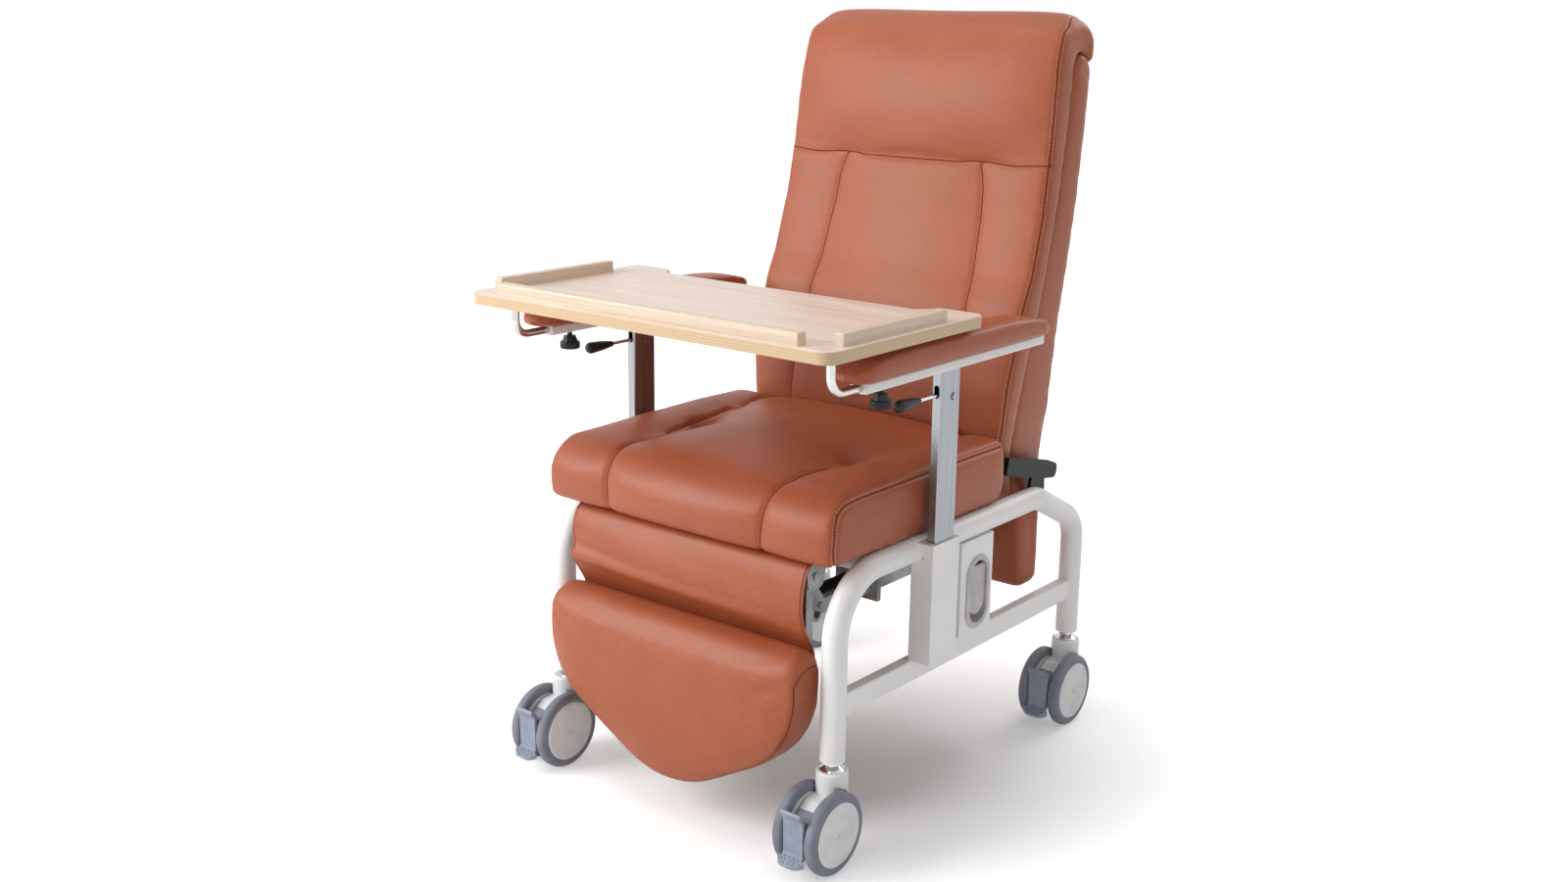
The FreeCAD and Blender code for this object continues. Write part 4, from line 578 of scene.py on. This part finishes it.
points = outline_points(cushion)
x, y, z = points.T
half = cushion_half(z)
points[:, 0] = x * half / back_half
rear = np.where(z < 1.116, front_y(z), 0.35)
front = np.clip((rear - y) / np.maximum(rear - chest_y(z), 0.01), 0, 1) ** 2
line_x = np.interp(z, [0.45, 0.554, 0.930, 0.968], [0.180, 0.175, 0.146, 0.138])
middle = np.clip(1 - (x / line_x) ** 2, 0, 1) ** 0.7
outer = np.clip(1 - ((np.abs(x) - (line_x + half) / 2) / ((half - line_x) / 2)) ** 2, 0, 1) ** 0.7
body = np.where(np.abs(x) < line_x, 0.009 * middle, 0.005 * outer)
head = 0.017 * np.clip(1 - (x / back_half) ** 4, 0, 1)
head = head * np.interp(z, [0.974, 1.0, 1.04, 1.09, 1.15, 1.18], [0.2, 0.65, 1, 1, 0.7, 0.3])
above = np.clip((z - 0.968) / 0.012, 0, 1)
crown = body * (1 - above) * np.interp(z, [0.43, 0.5], [0.3, 1]) + head * above
points[:, 1] = y - front * crown
points[:, 2] = z + 0.009 * np.clip((z - 1.15) / 0.05, 0, 1) * np.clip(1 - (x / back_half) ** 8, 0, 1)
set_points(cushion, points)
head_seam = [(-0.266, 0.267, 0.974), (-0.2, 0.25, 0.973), (0.2, 0.25, 0.973), (0.266, 0.267, 0.974)]
cushion_seams = [stitch_line(head_seam)]
down_seam = [
    (0.968, 0.136), (0.954, 0.141), (0.930, 0.146), (0.86, 0.151), (0.74, 0.160), (0.63, 0.168),
    (0.54, 0.175), (0.45, 0.180),
]
for side in (-1, 1):
    cushion_seams.append(stitch_line([(side * px, chest_y(pz) - 0.008, pz) for pz, px in down_seam]))
for side in (-1, 1):
    edge = []
    for py, pz in front_edge[1:] + roll_edge[:9]:
        edge.append((side * (cushion_half(pz / 1000) - 0.003), py / 1000 + MID + 0.002, pz / 1000))
    cushion_seams.append(stitch_line(edge))


def on_board(p):
    """The points that the panel holds, below the roll."""
    return p[:, 1] > np.where(p[:, 2] < 1.11, front_y(p[:, 2]) - 0.008, 9.0)


swell(cushion, back_voxel, cushion_seams, on_board, 0.005)
# The cover is drawn out to its cut width again.
points = outline_points(cushion)
bands = np.arange(0.42, 1.165, 0.02)
wide = np.array([np.abs(points[np.abs(points[:, 2] - b) < 0.014, 0]).max() for b in bands])
points[:, 0] *= np.interp(points[:, 2], bands, np.clip(cushion_half(bands) / wide, 0.97, 1.04))
set_points(cushion, points)
sew(cushion, cushion_seams, [False, False, False, True, True], 0.0016, 0.005)
cushion.data.materials.append(leather)
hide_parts("back_cushion")
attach(cushion, "back")


# Footrest pad: foam on a board, rounded over the top, with sides that slope in to a round point.
# A leather face and a narrow side band are joined by one seam down the sides and round the point.
def rounded(corners, steps):
    """Closed outline as (x, z), with each corner (x, z, radius) turned into an arc."""
    ring = []
    for i, (px, pz, r) in enumerate(corners):
        corner = np.array((px, pz))
        a = np.array(corners[i - 1][:2]) - corner
        b = np.array(corners[(i + 1) % len(corners)][:2]) - corner
        a, b = a / np.linalg.norm(a), b / np.linalg.norm(b)
        half = math.acos(float(np.dot(a, b))) / 2
        centre = corner + (a + b) / np.linalg.norm(a + b) * r / math.sin(half)
        enter, leave = corner + a * r / math.tan(half) - centre, corner + b * r / math.tan(half) - centre
        sweep = math.pi - 2 * half
        for k in range(steps + 1):
            t = sweep * k / steps
            ring.append(tuple(centre + (enter * math.sin(sweep - t) + leave * math.sin(t)) / math.sin(sweep)))
    return ring


foot_half, foot_top, foot_point = 0.250, 0.322, 0.036
foot_slope = math.atan2(0.139, foot_half)
shoulder_r, knee_r, point_r = 0.022, 0.153, 0.174
foot_voxel, foot_thick = 0.005, 0.066


def foot_outline(inset, steps=10):
    """Straight top, round shoulders, and sides that slope in to a round point."""
    half, top, point = foot_half - inset, foot_top - inset, foot_point + inset / math.cos(foot_slope)
    knee = point + half * math.tan(foot_slope)
    corners = [
        (-half, top, shoulder_r),
        (half, top, shoulder_r),
        (half, knee, knee_r - inset),
        (0, point, point_r - inset),
        (-half, knee, knee_r - inset),
    ]
    return rounded(corners, steps)


_, foot_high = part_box("footrest_pad")
foot_back = [(px, foot_high.y - 0.0005, pz) for px, pz in foot_outline(0.0)]
footrest = extruded("footrest_upholstery", foot_back, (0, -foot_thick, 0))
foot_face = foot_high.y - 0.0665
run_modifier(footrest, "BEVEL", width=0.005, segments=3, angle_limit=math.radians(50))
run_modifier(footrest, "REMESH", mode="VOXEL", voxel_size=foot_voxel)
points = outline_points(footrest)
x, y, z = points.T
# The face is full in the middle and falls off within 30 mm of each edge.
below = (z - foot_point - np.abs(x) * math.tan(foot_slope)) * math.cos(foot_slope)
edges = [foot_half - np.abs(x), 0.345 - z, below, z - 0.061]
full = np.prod([1 - np.exp(-np.maximum(edge, 0) / 0.030) for edge in edges], axis=0)
face = np.clip((foot_high.y - 0.02 - y) / (foot_high.y - 0.02 - foot_face), 0, 1) ** 2
points[:, 1] = y - face * 0.009 * full
# The top rolls over from the face to the back.
back_off = [0.0, 0.010, 0.030, 0.049, 0.060, 0.067, 0.073]
crest = [0.304, 0.316, 0.321, 0.315, 0.304, 0.290, 0.272]
rise = np.interp(foot_high.y - points[:, 1], back_off, crest)
points[:, 2] = np.where(z > 0.22, 0.22 + (z - 0.22) * (rise - 0.22) / (0.318 - 0.22), z)
set_points(footrest, points)
foot_ring = foot_outline(0.002, 24)
lower = [(px, foot_face + 0.005, pz) for px, pz in foot_ring if pz < 0.268]
start = next(i for i, p in enumerate(lower) if p[0] > 0)
lower = lower[start:] + lower[:start]
shoulder_run = [
    (0.248, foot_high.y - 0.006, 0.299),
    (0.249, foot_high.y - 0.032, 0.300),
    (0.249, foot_high.y - 0.051, 0.293),
    (0.248, foot_high.y - 0.063, 0.281),
]
foot_seam = shoulder_run + lower + [(-px, py, pz) for px, py, pz in reversed(shoulder_run)]
foot_seams = [stitch_line(foot_seam)]
swell(footrest, foot_voxel, foot_seams, lambda p: p[:, 1] > foot_high.y - 0.006, 0.002, ease=8)
points = outline_points(footrest)
points[:, 1] = np.minimum(points[:, 1], foot_high.y)
set_points(footrest, points)
sew(footrest, foot_seams, [False], 0.0025, 0.004)
footrest.data.materials.append(leather)
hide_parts("footrest_pad")
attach(footrest, "legrest")


# Calf flap: one sheet of leather sewn under the seat's front edge and to the back of the footrest.
# It hangs in a soft belly.
flap_half = 0.236
# The sheet's run in the side view, as (z, y) from the seat down.
flap_run = [
    (449, -322), (448.5, -336), (446, -346), (439, -353), (420, -360), (400, -364), (380, -366),
    (362, -363), (346, -355), (330, -344), (316, -336), (304, -333), (291.5, -332.5),
]
flap_z = np.array([p[0] for p in flap_run][::-1]) / 1000
flap_y = np.array([p[1] for p in flap_run][::-1]) / 1000 + MID
flap_length = float(np.sum(np.hypot(np.diff(flap_z), np.diff(flap_y))))
bpy.ops.object.select_all(action="DESELECT")
bpy.ops.mesh.primitive_grid_add(x_subdivisions=60, y_subdivisions=40, size=1.0)
flap = bpy.context.object
flap.name = "calf_flap_leather"
points = outline_points(flap)
u, v = points[:, 0] * 2, points[:, 1] + 0.5
run_v = np.concatenate([[0], np.cumsum(np.hypot(np.diff(flap_z), np.diff(flap_y)))]) / flap_length
z = np.interp(v, run_v, flap_z)
y = np.interp(v, run_v, flap_y)
slack = np.sin(np.clip((z - 0.335) / 0.111, 0, 1) * math.pi)
y = y - slack * (0.003 * np.cos(u * 2.1 + 0.4) + 0.002 * np.sin(u * 4.0 + z * 40))
# A loose fold lies across the foot of the sheet, deepest at the sitter's right.
loose = np.clip(0.55 - 0.5 * u, 0, 1)
ridge = 0.006 * np.exp(-(((z - (0.358 - 0.010 * u)) / 0.009) ** 2))
dent = 0.005 * np.exp(-(((z - (0.374 - 0.014 * u)) / 0.009) ** 2))
y = y - loose * (ridge - dent)
set_points(flap, np.column_stack([u * flap_half, y, z]))
run_modifier(flap, "SMOOTH", factor=0.5, iterations=3)
bpy.ops.object.mode_set(mode="EDIT")
bpy.ops.mesh.select_all(action="SELECT")
bpy.ops.mesh.normals_make_consistent(inside=False)
bpy.ops.object.mode_set(mode="OBJECT")
run_modifier(flap, "SOLIDIFY", thickness=0.0025, offset=0.0)
flap_seams = []
for side in (-1, 1):
    flap_seams.append(stitch_line([(side * (flap_half - 0.007), py, pz) for py, pz in zip(flap_y, flap_z)]))
sew(flap, flap_seams, [False, False], 0.0004, 0.003)
flap.data.materials.append(leather)
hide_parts("calf_flap")
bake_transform(flap)


# Arm posts: extruded aluminium box section, polished, that slides in the sockets.
# Fine draw lines run up the section.
aluminium, tree, shader, place = new_finish("polished_aluminium_extrusion")
# Draw lines 1.4 mm apart and 200 mm long, coarser than the real ones so that they show.
stretch = add_node(tree, "ShaderNodeMapping", {"Vector": place, "Scale": (700.0, 700.0, 5.0)})
draw = add_node(tree, "ShaderNodeTexNoise", {"Vector": stretch.outputs["Vector"], "Scale": 1.0,
                                             "Detail": 3.0})
tones = ((0.25, "#7F8286"), (0.75, "#9FA1A5"))
shade = add_node(tree, "ShaderNodeValToRGB", {"Fac": draw.outputs["Fac"]}, tones)
gloss = add_node(tree, "ShaderNodeMapRange", {"Value": draw.outputs["Fac"], "To Min": 0.22, "To Max": 0.36})
bump = add_node(tree, "ShaderNodeBump", {"Height": draw.outputs["Fac"], "Strength": 0.08, "Distance": 0.0002})
feed(tree, shader, {"Base Color": shade.outputs["Color"], "Roughness": gloss.outputs["Result"],
                    "Metallic": 1.0})
feed(tree, shader, {"Normal": bump.outputs["Normal"]})
dress(aluminium, "left_arm_post", "right_arm_post")


# Arm rails: box section under each arm pad, sprayed with the same white powder as the base.
# The clamp knobs and lever grips below them are moulded black nylon, with a spark texture.
dress(powder_coat, "left_arm_rail", "right_arm_rail")
black_nylon, tree, shader, place = new_finish("moulded_black_nylon")
pebble = add_node(tree, "ShaderNodeTexNoise", {"Vector": place, "Scale": 1 / 0.0015, "Detail": 2.0})
cloud = add_node(tree, "ShaderNodeTexNoise", {"Vector": place, "Scale": 1 / 0.012, "Detail": 3.0})
tones = ((0.0, "#101011"), (1.0, "#1E1E1F"))
shade = add_node(tree, "ShaderNodeValToRGB", {"Fac": cloud.outputs["Fac"]}, tones)
bump = add_node(tree, "ShaderNodeBump", {"Height": pebble.outputs["Fac"], "Strength": 0.2,
                                         "Distance": 0.0003})
feed(tree, shader, {"Base Color": shade.outputs["Color"], "Normal": bump.outputs["Normal"], "Roughness": 0.4})
feed(tree, shader, {"Specular IOR Level": 0.3})
dress(black_nylon, "left_lever_grip", "right_lever_grip", "left_tray_knob", "right_tray_knob")


# Arm pads: long foam pads in the same leather, flat below and round on top like a loaf.
# The cover is pulled down over the foam and tacked under the edges, so no seam shows.
pad_low, pad_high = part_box("left_arm_pad")
pad_middle = (pad_low + pad_high) / 2
pad_voxel, pad_taper = 0.005, 0.12
left_pad = block(
    "left_arm_upholstery",
    pad_middle,
    (pad_high.x - pad_low.x - 0.006, pad_high.y - pad_low.y - 0.006, pad_high.z - pad_low.z - 0.004),
)
round_edges(
    left_pad,
    (lambda m: abs(m.z - pad_middle.z) < 0.01, 0.028, 6),
    (lambda m: m.z > pad_middle.z + 0.02, 0.021, 6),
    (lambda m: m.z < pad_middle.z - 0.02, 0.008, 3),
)
run_modifier(left_pad, "REMESH", mode="VOXEL", voxel_size=pad_voxel)
# The top falls away in a quarter round over the last stretch at each end.
points = outline_points(left_pad)
past_end = np.abs(points[:, 1] - pad_middle.y) - (pad_high.y - pad_low.y) / 2
ends = np.clip((past_end + pad_taper) / pad_taper, 0, 1)
points[:, 2] -= (points[:, 2] - pad_low.z) * 0.75 * (1 - np.sqrt(1 - ends ** 2))
set_points(left_pad, points)
swell(left_pad, pad_voxel, [], lambda p: p[:, 2] < pad_low.z + 0.006, 0.004)
points = outline_points(left_pad)
points[:, 2] = np.maximum(points[:, 2], pad_low.z)
set_points(left_pad, points)
sew(left_pad, [], [], 0.0, 0.004)
left_pad.data.materials.append(leather)
right_pad = left_pad.copy()
right_pad.data = left_pad.data.copy()
right_pad.name = "right_arm_upholstery"
bpy.context.scene.collection.objects.link(right_pad)
right_pad.data.transform(Matrix.Scale(-1, 4, (1, 0, 0)))
right_pad.data.flip_normals()
for pad, side in ((left_pad, "left"), (right_pad, "right")):
    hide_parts(side + "_arm_pad")
    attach(pad, "arm_" + side)


# Tray: a board of pale plywood with lacquered faces, and three raised strips of pine.
# The grain runs along each piece, and the board's cut edge shows its veneers.
tray_wood, tree, shader, place = new_finish("lacquered_birch_plywood")
# Growth rings about 11 mm apart on the flat face, that wander over 120 mm, with fine fibres between them.
stretch = add_node(tree, "ShaderNodeMapping", {"Vector": place, "Scale": (3.0, 90.0, 90.0)})
warp = add_node(tree, "ShaderNodeTexNoise", {"Vector": place, "Scale": 1 / 0.12, "Detail": 2.0})
drift = {0: warp.outputs["Color"], 1: (0.0, 3.0, 0.0), 2: stretch.outputs["Vector"]}
wander = add_node(tree, "ShaderNodeVectorMath", drift, operation="MULTIPLY_ADD")
fibre = add_node(tree, "ShaderNodeTexNoise", {"Vector": wander.outputs["Vector"], "Scale": 1.0,
                                              "Detail": 6.0})
tones = ((0.32, "#DDC7B6"), (0.66, "#EDDCD0"))
face = add_node(tree, "ShaderNodeValToRGB", {"Fac": fibre.outputs["Fac"]}, tones)
split = add_node(tree, "ShaderNodeSeparateXYZ", {"Vector": place})
facing = add_node(tree, "ShaderNodeSeparateXYZ", {"Vector": place.node.outputs["Normal"]})
upright = add_node(tree, "ShaderNodeMath", {0: facing.outputs["Z"]}, operation="ABSOLUTE")
cut = add_node(tree, "ShaderNodeMath", {0: upright.outputs["Value"], 1: 0.5}, operation="LESS_THAN")
# Nine veneers of 2 mm.
depth = add_node(tree, "ShaderNodeMath", {0: split.outputs["Z"], 1: math.pi / 0.002}, operation="MULTIPLY")
wave = add_node(tree, "ShaderNodeMath", {0: depth.outputs["Value"]}, operation="SINE")
ply = add_node(tree, "ShaderNodeMapRange", {"Value": wave.outputs["Value"], "From Min": -0.3,
                                            "From Max": 0.3})
plies = {"Factor": ply.outputs["Result"], "A": linear("#C9AA84"), "B": linear("#D4B996")}
veneer = add_node(tree, "ShaderNodeMix", plies, data_type="RGBA")
cuts = {"Factor": cut.outputs["Value"], "A": face.outputs["Color"], "B": veneer.outputs["Result"]}
wood = add_node(tree, "ShaderNodeMix", cuts, data_type="RGBA")
bump = add_node(tree, "ShaderNodeBump", {"Height": fibre.outputs["Fac"], "Strength": 0.1, "Distance": 0.0003})
gloss = add_node(tree, "ShaderNodeMapRange", {"Value": fibre.outputs["Fac"], "To Min": 0.34, "To Max": 0.46})
feed(tree, shader, {"Base Color": wood.outputs["Result"], "Roughness": gloss.outputs["Result"]})
feed(tree, shader, {"Normal": bump.outputs["Normal"]})
dress(tray_wood, "tray_board")

# Planed pine with the same lacquer: 4 mm fibres along each strip, the two at the sides turned.
strip_wood, tree, shader, place = new_finish("lacquered_pine_strip")
split = add_node(tree, "ShaderNodeSeparateXYZ", {"Vector": place})
across = add_node(tree, "ShaderNodeMath", {0: split.outputs["X"]}, operation="ABSOLUTE")
at_side = add_node(tree, "ShaderNodeMath", {0: across.outputs["Value"], 1: 0.3}, operation="GREATER_THAN")
long_x = add_node(tree, "ShaderNodeMapping", {"Vector": place, "Scale": (5.0, 260.0, 260.0)})
long_y = add_node(tree, "ShaderNodeMapping", {"Vector": place, "Scale": (260.0, 5.0, 260.0)})
lays = {"Factor": at_side.outputs["Value"], "A": long_x.outputs["Vector"], "B": long_y.outputs["Vector"]}
lay = add_node(tree, "ShaderNodeMix", lays, data_type="VECTOR")
fibre = add_node(tree, "ShaderNodeTexNoise", {"Vector": lay.outputs["Result"], "Scale": 1.0, "Detail": 5.0})
tones = ((0.3, "#D2BCA3"), (0.7, "#E7D4C2"))
shade = add_node(tree, "ShaderNodeValToRGB", {"Fac": fibre.outputs["Fac"]}, tones)
bump = add_node(tree, "ShaderNodeBump", {"Height": fibre.outputs["Fac"], "Strength": 0.12,
                                         "Distance": 0.0003})
feed(tree, shader, {"Base Color": shade.outputs["Color"], "Normal": bump.outputs["Normal"],
                    "Roughness": 0.42})
dress(strip_wood, "tray_strips")


# Tray tubes: bright stainless tube, bent once, that slides in the arm rails.
# Fine marks are left by the polishing belt.
stainless, tree, shader, place = new_finish("bright_stainless_tube")
# Belt marks 1.1 mm apart and 17 mm long.
stretch = add_node(tree, "ShaderNodeMapping", {"Vector": place, "Scale": (60.0, 900.0, 900.0)})
belt = add_node(tree, "ShaderNodeTexNoise", {"Vector": stretch.outputs["Vector"], "Scale": 1.0,
                                             "Detail": 2.0})
tones = ((0.0, "#B9B9B9"), (1.0, "#D6D5D4"))
shade = add_node(tree, "ShaderNodeValToRGB", {"Fac": belt.outputs["Fac"]}, tones)
gloss = add_node(tree, "ShaderNodeMapRange", {"Value": belt.outputs["Fac"], "To Min": 0.14, "To Max": 0.26})
feed(tree, shader, {"Base Color": shade.outputs["Color"], "Roughness": gloss.outputs["Result"],
                    "Metallic": 1.0})
dress(stainless, "tray_tubes")


# Casters: a white moulded neck, grey hood and pedal, grey rubber tyres and pale discs.
# Each plastic has a fine moulded texture, and the rubber is dull with a little dust.
corners = ("front_left", "front_right", "rear_left", "rear_right")
for piece, name, dark, light, rough, grain in (
    ("fork", "moulded_white_nylon", "#E6E6E7", "#EFEFEF", 0.34, 0.0020),
    ("hood", "moulded_grey_nylon", "#787C88", "#898D99", 0.46, 0.0018),
    ("pedal", "moulded_blue_grey_nylon", "#838B9C", "#979FAF", 0.44, 0.0018),
    ("tyres", "grey_thermoplastic_rubber", "#6F737F", "#828692", 0.62, 0.0030),
    ("hubs", "moulded_pale_grey_nylon", "#D8D8D9", "#E6E6E6", 0.48, 0.0018),
):
    plastic, tree, shader, place = new_finish(name)
    pebble = add_node(tree, "ShaderNodeTexNoise", {"Vector": place, "Scale": 1 / grain, "Detail": 2.0})
    cloud = add_node(tree, "ShaderNodeTexNoise", {"Vector": place, "Scale": 1 / 0.025, "Detail": 4.0})
    tones = ((0.3, dark), (0.7, light))
    shade = add_node(tree, "ShaderNodeValToRGB", {"Fac": cloud.outputs["Fac"]}, tones)
    relief = {"Height": pebble.outputs["Fac"], "Strength": 0.15, "Distance": 0.0003}
    bump = add_node(tree, "ShaderNodeBump", relief)
    satin = {"Value": cloud.outputs["Fac"], "To Min": rough - 0.05, "To Max": rough + 0.05}
    gloss = add_node(tree, "ShaderNodeMapRange", satin)
    feed(tree, shader, {"Base Color": shade.outputs["Color"], "Roughness": gloss.outputs["Result"]})
    feed(tree, shader, {"Normal": bump.outputs["Normal"]})
    dress(plastic, *[corner + "_caster_" + piece for corner in corners])


# Studio: a white paper floor and soft light from large panels, with the camera at the photograph's angle.
# The paper glows to white for the camera and for reflections, the lamps' shadow still lies on it, and under
# the chair the glow is held back as a painted shadow.
def seen_directly(tree):
    """1 where the camera, a reflection or glass looks, and 0 for the light that falls on the object."""
    rays = add_node(tree, "ShaderNodeLightPath", {})
    either = {0: rays.outputs["Is Camera Ray"], 1: rays.outputs["Is Glossy Ray"]}
    direct = add_node(tree, "ShaderNodeMath", either, operation="MAXIMUM")
    either = {0: direct.outputs["Value"], 1: rays.outputs["Is Transmission Ray"]}
    return add_node(tree, "ShaderNodeMath", either, operation="MAXIMUM").outputs["Value"]


bpy.ops.object.select_all(action="DESELECT")
bpy.ops.mesh.primitive_plane_add(size=24.0, location=(0, 0, 0))
floor = bpy.context.object
floor.name = "studio_floor"
paper, tree, shader, place = new_finish("studio_paper")
# The glow is held low under the chair, which paints a shadow there, and it grows again from the chair's
# shadow to the backdrop.
away = add_node(tree, "ShaderNodeVectorMath", {0: place, 1: (0.1, 0.0, 0.0)}, operation="DISTANCE")
# Painted shadow: within 0.15 m of the chair's middle the floor's glow falls almost to nothing.
fade = {"Value": away.outputs["Value"], "From Min": 0.15, "From Max": 0.55, "To Min": 0.02, "To Max": 0.46}
near = add_node(tree, "ShaderNodeMapRange", fade)
fade = {"Value": away.outputs["Value"], "From Min": 0.7, "From Max": 2.2, "To Min": 0.0, "To Max": 0.4}
beyond = add_node(tree, "ShaderNodeMapRange", fade)
both = {0: near.outputs["Result"], 1: beyond.outputs["Result"]}
glow_with_painted_shadow = add_node(tree, "ShaderNodeMath", both, operation="ADD")
shown = {0: seen_directly(tree), 1: glow_with_painted_shadow.outputs["Value"]}
lit = add_node(tree, "ShaderNodeMath", shown, operation="MULTIPLY")
feed(tree, shader, {"Base Color": linear("#F4F4F4"), "Roughness": 0.9})
feed(tree, shader, {"Emission Color": linear("#FFFFFF"), "Emission Strength": lit.outputs["Value"]})
floor.data.materials.append(paper)

world = bpy.data.worlds.new("studio")
bpy.context.scene.world = world
world.use_nodes = True
tree = world.node_tree
level = add_node(tree, "ShaderNodeMapRange", {"Value": seen_directly(tree), "To Min": 0.33, "To Max": 1.0})
feed(tree, tree.nodes["Background"], {"Color": linear("#FFFFFF"), "Strength": level.outputs["Result"]})

aim = Vector((0, 0, 0.55))
for name, spot, size, power in (
    ("key", (-2.0, -2.7, 1.9), 2.4, 106),
    ("top", (-0.6, -0.4, 3.2), 2.0, 18),
    ("fill", (2.8, -1.2, 2.0), 2.4, 13),
    ("back", (0.6, 2.6, 2.6), 2.0, 26),
):
    lamp = bpy.data.lights.new(name, "AREA")
    lamp.shape = "DISK"
    lamp.size = size
    lamp.energy = power
    holder = bpy.data.objects.new(name, lamp)
    bpy.context.scene.collection.objects.link(holder)
    holder.location = spot
    holder.rotation_euler = (aim - Vector(spot)).to_track_quat("-Z", "Y").to_euler()

eye = Vector((1.5935, -2.0734, 1.2191))
look = Vector((-0.05714, -0.00173, 0.51989))
back = (eye - look).normalized()
level_right = Vector((0, 0, 1)).cross(back).normalized()
level_up = back.cross(level_right)
lean = math.radians(0.74)
right = level_right * math.cos(lean) + level_up * math.sin(lean)
up = level_up * math.cos(lean) - level_right * math.sin(lean)
lens = bpy.data.cameras.new("photo_camera")
lens.sensor_fit = "HORIZONTAL"
lens.sensor_width = 36.0
lens.lens = 38.08
camera = bpy.data.objects.new("photo_camera", lens)
bpy.context.scene.collection.objects.link(camera)
camera.matrix_world = Matrix(
    (
        (right.x, up.x, back.x, eye.x),
        (right.y, up.y, back.y, eye.y),
        (right.z, up.z, back.z, eye.z),
        (0, 0, 0, 1),
    )
)
bpy.context.scene.camera = camera
bpy.context.scene.view_settings.view_transform = "Standard"
